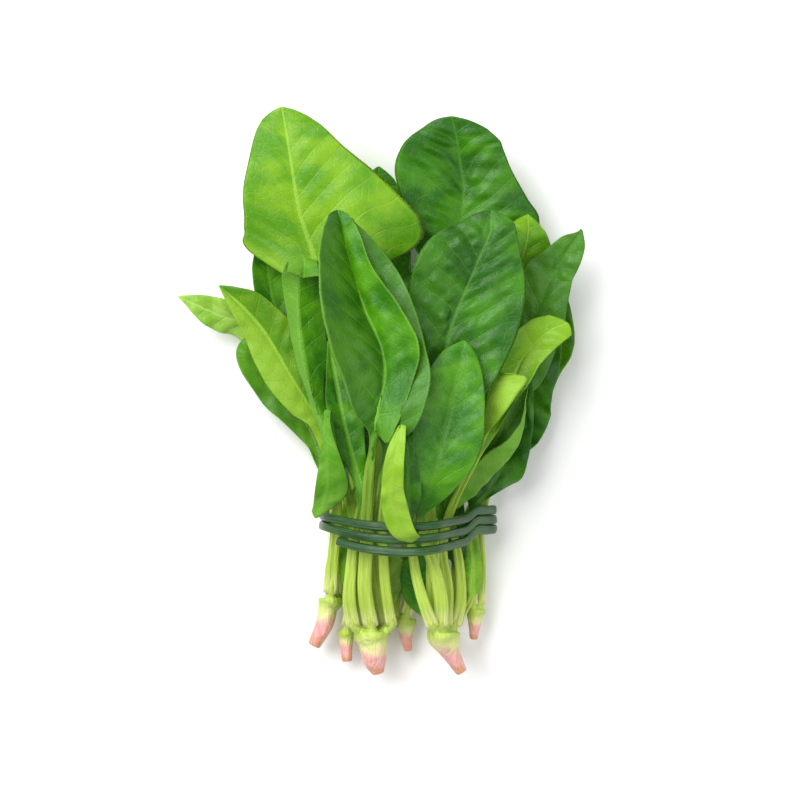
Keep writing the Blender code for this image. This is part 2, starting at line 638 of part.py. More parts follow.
def tie_loop(placed):
    """One turn of the band seen from the roots: the petioles' convex outline, a band's radius further out."""
    inside = []
    for spec, grid, half in placed.values():
        rows = PETIOLE_ROWS if spec["hangs"] else len(grid)
        for face in faces_of(grid[:rows], half[:rows]):
            points = face_points(face).reshape(-1, 3)
            low_y = TIE_START_Y - TIE_TURNS * TIE_PITCH - 1.5 * TIE_SAG - TIE_RADIUS
            near = (points[:, 1] > low_y) & (points[:, 1] < TIE_START_Y + TIE_RADIUS)
            inside.append(points[near][:, [0, 2]])
    inside = np.concatenate(inside)
    angles = np.linspace(0, 2 * math.pi, 181)
    outward = np.stack([np.cos(angles), np.sin(angles)], axis=1)
    corners = inside[np.argmax(inside @ outward.T, axis=0)]
    return corners + outward * (TIE_RADIUS + TIE_GAP)


def tie_line(placed):
    """The band's centre line: a helix along the loop, which sags towards the roots where it crosses the front."""
    loop = tie_loop(placed)
    run = np.concatenate([[0], np.cumsum(np.linalg.norm(np.diff(loop, axis=0), axis=1))])
    middle = (loop.min(axis=0) + loop.max(axis=0)) / 2
    half_width = (loop[:, 0].max() - loop[:, 0].min()) / 2
    turns = np.arange(int(TIE_TURNS * TIE_POINTS_PER_TURN) + 1) / TIE_POINTS_PER_TURN
    x = np.interp(turns % 1 * run[-1], run, loop[:, 0])
    z = np.interp(turns % 1 * run[-1], run, loop[:, 1])
    across = np.clip(1 - ((x - middle[0]) / half_width) ** 2, 0, 1)
    sag = np.where(z > middle[1], TIE_SAG * (1 + TIE_SAG_GROWTH * turns) * across, 0)
    return np.stack([x, TIE_START_Y - TIE_PITCH * turns - sag, z], axis=1)


def crown_line(plant, placed):
    """A plant's crown and root, from just below its petioles to the root's cut end: points, radii, stretch."""
    base_z = [grid[0, MIDDLE, 2] for spec, grid, _ in placed.values() if spec["plant"] == plant]
    made = PLANTS[plant]
    radius, x, top_y = made["radius"], made["x"], made["top_y"] - CROWN_GAP
    stretch = max(1, (max(base_z) - min(base_z) + PETIOLE_THICKNESS) / (2 * radius))
    z = max((min(base_z) + max(base_z)) / 2, stretch * radius + CLEARANCE)
    neck_x = made["root"][0][0]
    line = [(x, top_y, z), (x, top_y - 0.15 * radius, z), (x, top_y - 0.5 * radius, z)]
    line.append((x + 0.4 * (neck_x - x), top_y - 0.95 * radius, z))
    line += [(root_x, root_y, z) for root_x, root_y, _ in made["root"]]
    radii = [0.75 * radius, 0.95 * radius, radius, 0.8 * radius] + [r for _, _, r in made["root"]]
    return np.array(line), radii, stretch


def pile_up():
    """Lays all the leaves and ties them: leaf name to (spec, grid, half thickness), and the band's line."""
    pile = HeightMap()
    tie_floor(pile)
    placed = {}
    for spec in REAR_LEAVES + FRONT_LEAVES:
        half = half_thickness(spec["width"])
        grid = lay(leaf_grid(spec), half, pile)
        rows = PETIOLE_ROWS if spec["hangs"] else len(grid)
        add_to_pile(grid[:rows], half[:rows], pile)
        placed[spec["name"]] = (spec, grid, half)
    line = tie_line(placed)
    steps = np.linspace(0, len(line) - 1, 40 * len(line))
    centre = np.stack([np.interp(steps, np.arange(len(line)), line[:, k]) for k in range(3)], axis=1)
    for shift in np.linspace(-TIE_RADIUS, TIE_RADIUS, 15):
        pile.raise_to(centre + (0, shift, TIE_RADIUS))
        pile.raise_to(centre + (shift, 0, TIE_RADIUS))
    for name, (spec, grid, half) in placed.items():
        if spec["hangs"]:
            grid = lay(grid, half, pile, first=PETIOLE_ROWS)
            add_to_pile(grid, half, pile)
            placed[name] = (spec, grid, half)
    return placed, line


for old in list(bpy.data.objects):
    bpy.data.objects.remove(old)
bunch = bpy.data.collections.new("spinach_bunch")
bpy.context.scene.collection.children.link(bunch)


def tube(name, points, radii, paint, smoothness=2, stretch=1.0):
    """A round tube along points, radius by radius, with closed ends. It may be stretched in height."""
    curve = bpy.data.curves.new(name, "CURVE")
    curve.dimensions = "3D"
    curve.bevel_depth = MM
    curve.bevel_resolution = smoothness
    curve.use_fill_caps = True
    spline = curve.splines.new("POLY")
    spline.points.add(len(points) - 1)
    middle = np.mean(points, axis=0)
    for point, place, radius in zip(spline.points, (points - middle) * MM, radii):
        point.co = (*place, 1)
        point.radius = radius
    curve.materials.append(paint)
    made = bpy.data.objects.new(name, curve)
    made.location = middle * MM
    made.scale.z = stretch
    bunch.objects.link(made)
    return made


def stand_on_origin():
    """Moves everything so that the bunch's box has the middle of its base at the origin."""
    evaluated = bpy.context.evaluated_depsgraph_get()
    corners = []
    for piece in bunch.objects:
        made = piece.evaluated_get(evaluated)
        corners += [made.matrix_world @ vertex.co for vertex in made.to_mesh().vertices]
        made.to_mesh_clear()
    corners = np.array(corners)
    low, high = corners.min(axis=0), corners.max(axis=0)
    base = Vector(((low[0] + high[0]) / 2, (low[1] + high[1]) / 2, low[2]))
    for piece in bunch.objects:
        piece.location -= base


def main():
    placed, band = pile_up()
    for name, (spec, grid, half) in placed.items():
        vertices, faces = leaf_mesh(grid, half)
        add_object(name, vertices, faces, material(name, LEAF_COLOURS[spec["tone"]], LEAF_ROUGHNESS))
    for plant in PLANTS:
        line, radii, stretch = crown_line(plant, placed)
        name = plant.replace("plant", "crown")
        paint = material(name, CROWN_COLOUR, CROWN_ROUGHNESS)
        tube(name, line, radii, paint, smoothness=3, stretch=stretch)
    tube("tie", band, [TIE_RADIUS] * len(band), material("tie", TIE_COLOUR, TIE_ROUGHNESS))
    bpy.context.view_layer.update()
    stand_on_origin()


main()
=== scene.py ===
"""A bunch of spinach, tied with a green band and lying on its back, seen from above.

The leaves are laid down as in the CAD model: each leaf is a coarse grid of points, raised until it clears
what already lies under it. Here each grid is refined into a smooth blade with puckers and wavy margins.
Lengths are in millimetres until a mesh is made.
"""

import math

import bpy
import numpy as np
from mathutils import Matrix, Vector


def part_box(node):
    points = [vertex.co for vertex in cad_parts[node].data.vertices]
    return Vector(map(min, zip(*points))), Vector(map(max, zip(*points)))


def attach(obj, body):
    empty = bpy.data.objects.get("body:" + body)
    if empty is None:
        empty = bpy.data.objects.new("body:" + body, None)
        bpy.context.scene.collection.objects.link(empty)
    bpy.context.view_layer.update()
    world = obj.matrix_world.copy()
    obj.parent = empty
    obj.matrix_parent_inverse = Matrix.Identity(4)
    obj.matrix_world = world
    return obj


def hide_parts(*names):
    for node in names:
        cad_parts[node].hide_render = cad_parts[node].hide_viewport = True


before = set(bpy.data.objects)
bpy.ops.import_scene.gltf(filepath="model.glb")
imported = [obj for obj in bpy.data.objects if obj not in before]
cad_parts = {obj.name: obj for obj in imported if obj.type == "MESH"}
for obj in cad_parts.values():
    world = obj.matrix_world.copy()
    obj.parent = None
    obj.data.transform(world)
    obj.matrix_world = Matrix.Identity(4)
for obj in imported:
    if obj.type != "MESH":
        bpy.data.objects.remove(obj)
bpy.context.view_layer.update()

MM = 0.001

# The bunch, as in the CAD model.
PETIOLE_WIDTH = 4.8
PETIOLE_THICKNESS = 3.6
PETIOLE_FLARE = 1.35
BLADE_HALF_THICKNESS = 0.55
RIB_HALF_THICKNESS = 1.3
CLEARANCE = 0.6
TIE_RADIUS = 2.1
TIE_GAP = 0.4
TIE_TURNS = 2.46
TIE_PITCH = 4.9
TIE_SAG = 6.0
TIE_SAG_GROWTH = 0.2
TIE_START_Y = -59.0
TIE_POINTS_PER_TURN = 28
CROWN_GAP = 1.4

# Each leaf is a grid: rows from the crown to the tip, columns from its left margin to its right one.
PETIOLE_ROWS = 5
BLADE_ROWS = 8
COLUMNS = np.array([-1.0, -0.58, -0.14, 0.0, 0.14, 0.58, 1.0])
MIDDLE = len(COLUMNS) // 2

# The height map that the leaves are laid on: one cell in x and y, and how far it reaches.
CELL = 0.5
REACH = 180.0
SAMPLES = 30


def curve_at(points, places):
    """Places on a Catmull-Rom curve through the points: place 2.5 is halfway from point 2 to point 3."""
    p = np.asarray(points, float)
    p = np.concatenate([[2 * p[0] - p[1]], p, [2 * p[-1] - p[-2]]])
    t = np.asarray(places, float)
    i = np.minimum(t.astype(int), len(p) - 4)
    f = (t - i).reshape([-1] + [1] * (p.ndim - 1))
    a, b, c, d = p[i], p[i + 1], p[i + 2], p[i + 3]
    return 0.5 * (2 * b + (c - a) * f + (2 * a - 5 * b + 4 * c - d) * f**2 + (3 * b - a - 3 * c + d) * f**3)


def smooth_points(points, count):
    """count points, evenly spread in parameter, on the same curve."""
    return curve_at(points, np.linspace(0, len(points) - 1, count))


def even_points(points, count):
    """count points on the same curve, evenly spread in length."""
    fine = smooth_points(points, 40 * len(points))
    run = np.concatenate([[0], np.cumsum(np.linalg.norm(np.diff(fine, axis=0), axis=1))])
    wanted = np.linspace(0, run[-1], count)
    return np.stack([np.interp(wanted, run, fine[:, k]) for k in range(3)], axis=1)


def unit(v):
    return v / np.maximum(np.linalg.norm(v, axis=-1, keepdims=True), 1e-9)


def blade_row(row, bow):
    """One blade row: left, left control, rib, right control, right. The margins' heights become absolute."""
    points = [np.array(p, float) for p in row]
    rib = points[len(points) // 2]
    for p in points:
        if p is not rib:
            p[2] += rib[2]
    if len(points) == 5:
        return np.array(points)
    left, _, right = points
    up = np.array([0, 0, 1.0])
    left_control = (left + rib) / 2 + up * bow * np.linalg.norm(left - rib)
    right_control = (right + rib) / 2 + up * bow * np.linalg.norm(right - rib)
    return np.array([left, left_control, rib, right_control, right])


def blade_grid(rows, bow):
    """Mid-surface of a blade: each half of a row is a quadratic curve from the rib to the margin."""
    rails = smooth_points([blade_row(row, bow) for row in rows], BLADE_ROWS)
    grid = np.empty((BLADE_ROWS, len(COLUMNS), 3))
    for j, s in enumerate(COLUMNS):
        margin, control = (0, 1) if s < 0 else (4, 3)
        w = abs(s)
        grid[:, j] = (1 - w) ** 2 * rails[:, 2] + 2 * w * (1 - w) * rails[:, control]
        grid[:, j] += w**2 * rails[:, margin]
    return grid


def petiole_grid(stem, side_at_blade, width):
    """Mid-surface of a petiole: a strip along the stem, wider at the crown."""
    line = even_points(stem, PETIOLE_ROWS + 1)[:-1]
    along = unit(np.gradient(line, axis=0))
    side = unit(np.cross(along, [0, 0, 1.0]))
    turn = np.linspace(0, 1, PETIOLE_ROWS)[:, None] ** 2
    side = unit(side * (1 - turn) + side_at_blade * turn)
    half = width / 2 * np.linspace(PETIOLE_FLARE, 0.85, PETIOLE_ROWS)[:, None, None]
    return line[:, None] + side[:, None] * half * COLUMNS[None, :, None]


def leaf_grid(spec):
    blade = blade_grid(spec["rows"], spec["bow"])
    side = unit(blade[0, -1] - blade[0, 0])
    (x, z), *others = spec["stem"]
    stem = [(x, PLANTS[spec["plant"]]["top_y"], z)] + others + [tuple(blade[0, MIDDLE])]
    return np.concatenate([petiole_grid(stem, side, spec["width"]), blade])


def half_thickness(width):
    """Half of the thickness at every grid point. Margins are sharp."""
    petiole = PETIOLE_THICKNESS / 2 * width / PETIOLE_WIDTH * np.sqrt(1 - COLUMNS**2)
    blade = np.full((BLADE_ROWS, len(COLUMNS)), BLADE_HALF_THICKNESS)
    blade[:, MIDDLE] = np.linspace(RIB_HALF_THICKNESS, BLADE_HALF_THICKNESS, BLADE_ROWS)
    blade[:, [0, -1]] = 0
    taper = np.linspace(1, 0.9, PETIOLE_ROWS)[:, None]
    return np.concatenate([petiole * taper, blade])


def normals(grid):
    along = np.gradient(grid, axis=0)
    across = np.gradient(grid, axis=1)
    return unit(np.cross(across, along))


def faces_of(grid, half):
    """The upper and lower faces of a leaf, as two grids."""
    out = normals(grid) * half[..., None]
    return grid + out, grid - out


class HeightMap:
    """How high the pile stands at each place on the table."""

    def __init__(self):
        count = int(2 * REACH / CELL) + 1
        self.z = np.full((count, count), 0.0)

    def cells(self, points):
        ij = np.clip(((points[..., :2] + REACH) / CELL).round().astype(int), 1, len(self.z) - 2)
        return ij[..., 0], ij[..., 1]

    def raise_to(self, points):
        np.maximum.at(self.z, self.cells(points), points[..., 2])

    def around(self):
        """The height map with each cell as high as the highest of its eight neighbours."""
        wide = np.maximum(self.z, np.maximum(np.roll(self.z, 1, 0), np.roll(self.z, -1, 0)))
        return np.maximum(wide, np.maximum(np.roll(wide, 1, 1), np.roll(wide, -1, 1)))


def face_points(face):
    """Points all over a face, by cell: each cell is two triangles, cut from its first corner to its last."""
    u, v = np.meshgrid(*[np.linspace(0, 1, SAMPLES)] * 2, indexing="ij")
    u, v = u[..., None], v[..., None]
    a, b = face[:-1, :-1, None, None], face[:-1, 1:, None, None]
    c, d = face[1:, :-1, None, None], face[1:, 1:, None, None]
    return np.where(v >= u, a + v * (b - a) + u * (d - b), a + u * (c - a) + v * (d - c))


def lift_needed(grid, half, pile):
    """How far each grid point has to rise so that every cell touching it clears the pile."""
    need = np.zeros(grid.shape[:2])
    high = pile.around()
    for face in faces_of(grid, half):
        points = face_points(face)
        gap = high[pile.cells(points)] + CLEARANCE - points[..., 2]
        worst = gap.max(axis=(2, 3))
        for corner in (need[:-1, :-1], need[:-1, 1:], need[1:, :-1], need[1:, 1:]):
            np.maximum(corner, worst, out=corner)
    return need


def relaxed(need, first):
    """A smooth rise, from the given row on, that is nowhere less than needed."""
    rise = need.copy()
    for _ in range(60):
        padded = np.pad(rise, 1, mode="edge")
        rows = (padded[:-2, 1:-1] + padded[2:, 1:-1]) / 2
        columns = (padded[1:-1, :-2] + padded[1:-1, 2:]) / 2
        calm = 0.985 * (0.5 * rows + 0.5 * columns)
        rise[first:] = np.maximum(need, calm)[first:]
        rise[:PETIOLE_ROWS] = rise[:PETIOLE_ROWS].max(axis=1, keepdims=True)
    return rise


def lay(grid, half, pile, first=0):
    """Raises a leaf, from the given row to its tip, until it clears the pile."""
    grid = grid.copy()
    for _ in range(4):
        need = np.zeros(grid.shape[:2])
        need[first:] = lift_needed(grid[first:], half[first:], pile)
        grid[..., 2] += relaxed(need, first)
    return grid


def add_to_pile(grid, half, pile):
    for face in faces_of(grid, half):
        pile.raise_to(face_points(face))


def leaf(name, plant, stem, rows, tone="green", bow=0.08, width=PETIOLE_WIDTH, hangs=False, pucker=1.0,
         ruffle=0.8, tip_round=True, half_shading_and_pallor=(0.0, 0.0), rib=1.0, rim=0.35):
    """A leaf's shape as it would hang freely: a stem line, then rows of (left margin, rib, right margin).

    The stem's first point is (x, z): its y is where the plant's petioles meet the crown.
    A margin's height is counted from the rib's. A row of five also places the controls between them. A leaf
    that hangs has its petiole inside the band and its blade folded back over it.

    pucker and ruffle are heights in mm. For the left and the right half, a setting below 0 paints shade on
    it (a painted shadow), and one above 0 pales it towards the underside's colour, partly as painted light
    on a slope that faces the lamp and partly for underside that shows. rib and rim are how clearly the
    midrib and the margin show.
    """
    return {
        "name": name + "_leaf", "plant": plant, "stem": stem, "rows": rows, "tone": tone, "bow": bow,
        "width": width, "hangs": hangs, "pucker": pucker, "ruffle": ruffle, "tip_round": tip_round,
        "half_shading_and_pallor": half_shading_and_pallor, "rib": rib, "rim": rim,
    }


def narrow(x, y, z, half=2.6):
    """The first blade row: hardly wider than the petiole."""
    return ((x - half, y, 0), (x, y, z), (x + half, y, 0))


def tip(x, y, z, half=1.2):
    return ((x - half, y - half, 0), (x, y, z), (x + half, y - half, 0))


REAR_LEAVES = [
    leaf(
        "rear_centre", "rear_left", tone="dark",
        stem=[(-15, 7), (-9, -95, 7), (-4, -72, 7)],
        rows=[narrow(-3, -50, 3),
         ((-26, -22, 3), (-4, -18, 0.5), (18, -22, 3)), ((-36, 20, 4), (-6, 20, 0.5), (26, 18, 4)),
         ((-34, 55, 5), (-8, 52, 1.5), (20, 52, 5)), ((-22, 82, 4), (-10, 80, 3.5), (4, 80, 4)),
         tip(-11, 96, 4)],
    ),
    leaf(
        "rear_right", "rear_middle", tone="green",
        stem=[(10, 7), (16, -92, 7), (20, -72, 7)],
        rows=[narrow(24, -51, 3),
         ((14, -28, 3), (34, -26, 0.5), (56, -36, 3)), ((22, 12, 4), (46, 14, 0.5), (70, 4, 4)),
         ((32, 46, 4), (54, 46, 1.5), (78, 38, 4)), ((46, 68, 3), (60, 70, 2.5), (76, 66, 3)),
         tip(65, 84, 3)],
    ),
    leaf(
        "rear_left", "left", tone="green",
        stem=[(-22, 7), (-20, -88, 7), (-18, -72, 7)],
        rows=[narrow(-21, -50, 3),
         ((-38, -25, 3), (-29, -26, 0.5), (-18, -16, 3)), ((-58, 5, 4), (-44, 4, 0.5), (-22, 18, 4)),
         ((-64, 26, 3), (-54, 28, 1.5), (-36, 42, 4)), tip(-62, 46, 2)],
    ),
    leaf(
        "far_left", "left", tone="pale",
        stem=[(-24, 9), (-22, -86, 10), (-19, -70, 12), (-28, -42, 10)],
        rows=[narrow(-42, -9, 10),
         ((-58, 8, 0), (-50, 9, 12), (-43, 14, 0)), ((-71, 27, -2), (-65, 33, 16), (-59, 41, 2)),
         ((-83, 31, -3), (-80, 39, 20), (-78, 47.5, 3)), ((-93, 38.5, -2), (-92, 44, 22), (-90, 49.5, 2)),
         ((-101, 47, 0), (-102, 48.5, 22), (-100, 49.5, 0))],
    ),
    leaf(
        "low_left", "left", tone="green", pucker=1.0, ruffle=2.4, half_shading_and_pallor=(0.4, 0.3),
        stem=[(-26, 8), (-25, -88, 10), (-22, -70, 12), (-27, -48, 12)],
        rows=[narrow(-32, -31, 12),
         ((-43, -21, 2), (-37, -18, 12), (-28, -9, 0)), ((-56, -9.5, 3), (-46, -4, 12), (-34, 8, 0)),
         ((-65, 2, 3), (-54, 8, 13), (-42, 20, 0)), ((-73.5, 17, 3), (-62, 20, 14), (-52, 32, 0)),
         ((-69, 28, 0), (-65, 31, 14), (-60, 33, 0))],
    ),
    leaf(
        "rear_tip", "rear_left", tone="green",
        stem=[(-12, 9), (-7, -95, 11), (-3, -70, 12), (0, -30, 14)],
        rows=[narrow(0, 12, 18),
         ((-14, 40, 0), (0, 40, 18), (14, 40, 0)), ((-16, 75, 1), (-1, 75, 20), (15, 75, 1)),
         ((-11, 100, 1), (-1, 99, 22), (12, 97, 1)), ((-7, 110, 0), (-1, 112, 23), (7, 108, 0))],
    ),
    leaf(
        "rear_edge", "right", tone="green",
        stem=[(47, 7), (46, -92, 9), (42, -70, 12), (52, -46, 10)],
        rows=[narrow(58, -36, 8),
         ((60, -14, 0), (68, -16, 9), (76, -20, 0)), ((68, 12, 0), (80, 10, 10), (89, 6, 2)),
         ((76, 36, 0), (86, 28, 12), (97.5, 21, 3)), ((84, 52, 0), (90, 46, 14), (97.5, 36, 2)),
         tip(92, 56, 14)],
    ),
    leaf(
        "veined_right", "right", tone="dark", pucker=1.2, ruffle=2.2, rib=1.6,
        stem=[(49, 9), (49, -92, 10), (46, -70, 12), (54, -50, 12)],
        rows=[narrow(58, -43, 12),
         ((50, -22, 0), (65, -30, 13), (77, -28, 1)), ((58, 5, 0), (72, -10, 14), (85, -15, 2)),
         ((66, 28, 0), (78, 12, 16), (87.5, 2, 3)), ((72, 44, 0), (82, 32, 18), (92, 22, 2)),
         tip(88, 46, 18)],
    ),
    leaf(
        "top_right", "rear_middle", tone="dark", pucker=1.1, ruffle=0.6, rib=0.8,
        stem=[(8, 9), (12, -92, 11), (14, -70, 12), (24, -22, 16), (33, 28, 24)],
        rows=[narrow(36, 50, 29),
         ((16, 75, 5), (40, 73, 30), (79, 77, -2)), ((14, 91, 6), (41, 90, 31), (78, 91, 0)),
         ((7, 106, 8), (42, 103, 31), (70, 104, 3)), ((9, 120, 8), (40, 115, 33), (62.5, 120, 5)),
         ((13, 127, 4), (39, 124, 37), (60.5, 126, 3)), ((22, 134, 0), (37, 133.5, 40), (54, 132.5, 0))],
    ),
    leaf(
        "pale_shoulder", "rear_middle", tone="bright",
        stem=[(13, 9), (20, -92, 11), (27, -70, 12), (40, -30, 14)],
        rows=[narrow(52, 6, 24),
         ((44, 30, 0), (60, 32, 22), (78, 30, 0)), ((52, 58, 0), (68, 58, 25), (86, 56, 0)),
         ((60, 78, 0), (73, 76, 32), (86, 74, 0)), ((66, 85.5, 0), (74, 87, 33), (81, 83.5, 0))],
    ),
    leaf(
        "pointed_right", "right", tone="dark", pucker=1.0, ruffle=0.8, half_shading_and_pallor=(0.4, 0.4),
        stem=[(50, 11), (51, -92, 13), (49, -70, 15), (58, -36, 20)],
        rows=[narrow(66, -6, 26),
         ((57, 18, 0), (72, 15, 28), (83, 8, 0)), ((60, 40, 0), (78, 38, 31), (93.5, 38, 2)),
         ((70, 62, 2), (85, 56, 34), (95, 53, 3)), ((80, 70, 3), (92, 68, 38), (99, 63, 3)),
         ((90, 78, 2), (97, 76, 40), (102.5, 72, 1)), tip(100.5, 82, 41)],
    ),
    leaf(
        "low_right", "right", tone="dark", pucker=1.0, ruffle=1.6,
        stem=[(46, 9), (44, -92, 12), (40, -72, 15), (44, -62, 18)],
        rows=[narrow(47, -57, 20),
         ((42, -44, 2), (55, -48, 22), (58, -50, 0)), ((54, -28, 4), (62, -36, 24), (70, -45, 0)),
         ((62, -12, 5), (69, -20, 26), (75.5, -28, 1)), ((68, 4, 4), (73, -3, 27), (77, -10, 1)),
         tip(75, 10, 27)],
    ),
    leaf(
        "curled_left", "left", tone="green", pucker=0.6, ruffle=0.8, half_shading_and_pallor=(0.0, 0.3),
        stem=[(-20, 11), (-17, -86, 13), (-12, -70, 15), (-30, -20, 22), (-44, 12, 28)],
        rows=[narrow(-48, 16, 32, 4.5),
         ((-60, 40, 2), (-52, 38, 34), (-42, 34, 0)), ((-65, 55, 5), (-56, 54, 36), (-43, 50, 0)),
         ((-65, 67, 4), (-57, 67, 38), (-44, 64, 0)), ((-62, 76, 0), (-56, 77, 39), (-48, 74, 0))],
        bow=-0.1,
    ),
    leaf(
        "top_left", "rear_left", tone="bright", pucker=0.45, ruffle=0.9,
        stem=[(-17, 10), (-13, -96, 13), (-9, -70, 15), (-18, -20, 26), (-26, 25, 40)],
        rows=[narrow(-30, 46, 46),
         ((-69, 74, -3), (-34, 71, 48), (21, 76, -5)), ((-66.5, 83, -1), (-38, 82, 50), (18, 88, -3)),
         ((-69, 94, 0), (-41, 93, 52), (6, 103, 0)), ((-67, 110, 1), (-43.5, 108, 54), (-13, 118.5, 1)),
         ((-63.5, 126, 0), (-46, 124, 55), (-25.5, 130, 0)),
         ((-59, 136.5, -1), (-48.5, 138.5, 55), (-34.5, 137.5, -1))],
    ),
    leaf(
        "bright_left", "left", tone="bright", pucker=0.6, ruffle=0.8, half_shading_and_pallor=(0.75, -0.3),
        stem=[(-23, 12), (-21, -88, 14), (-17, -70, 17), (-22, -48, 24)],
        rows=[narrow(-26, -33, 32),
         ((-37, -15, 2), (-32, -14, 34), (-24, -6, 2)), ((-48, -8, 3), (-40, 0, 36), (-30, 12, 2)),
         ((-61, 10, 3), (-49, 15, 39), (-38, 28, 1)), ((-66, 24, 3), (-57, 29, 42), (-47, 38, 2)),
         ((-73, 38, 2), (-68, 42, 45), (-60, 49.5, 3)), ((-79.5, 50, 1), (-80, 53, 46), (-74, 53.5, 1))],
    ),
]

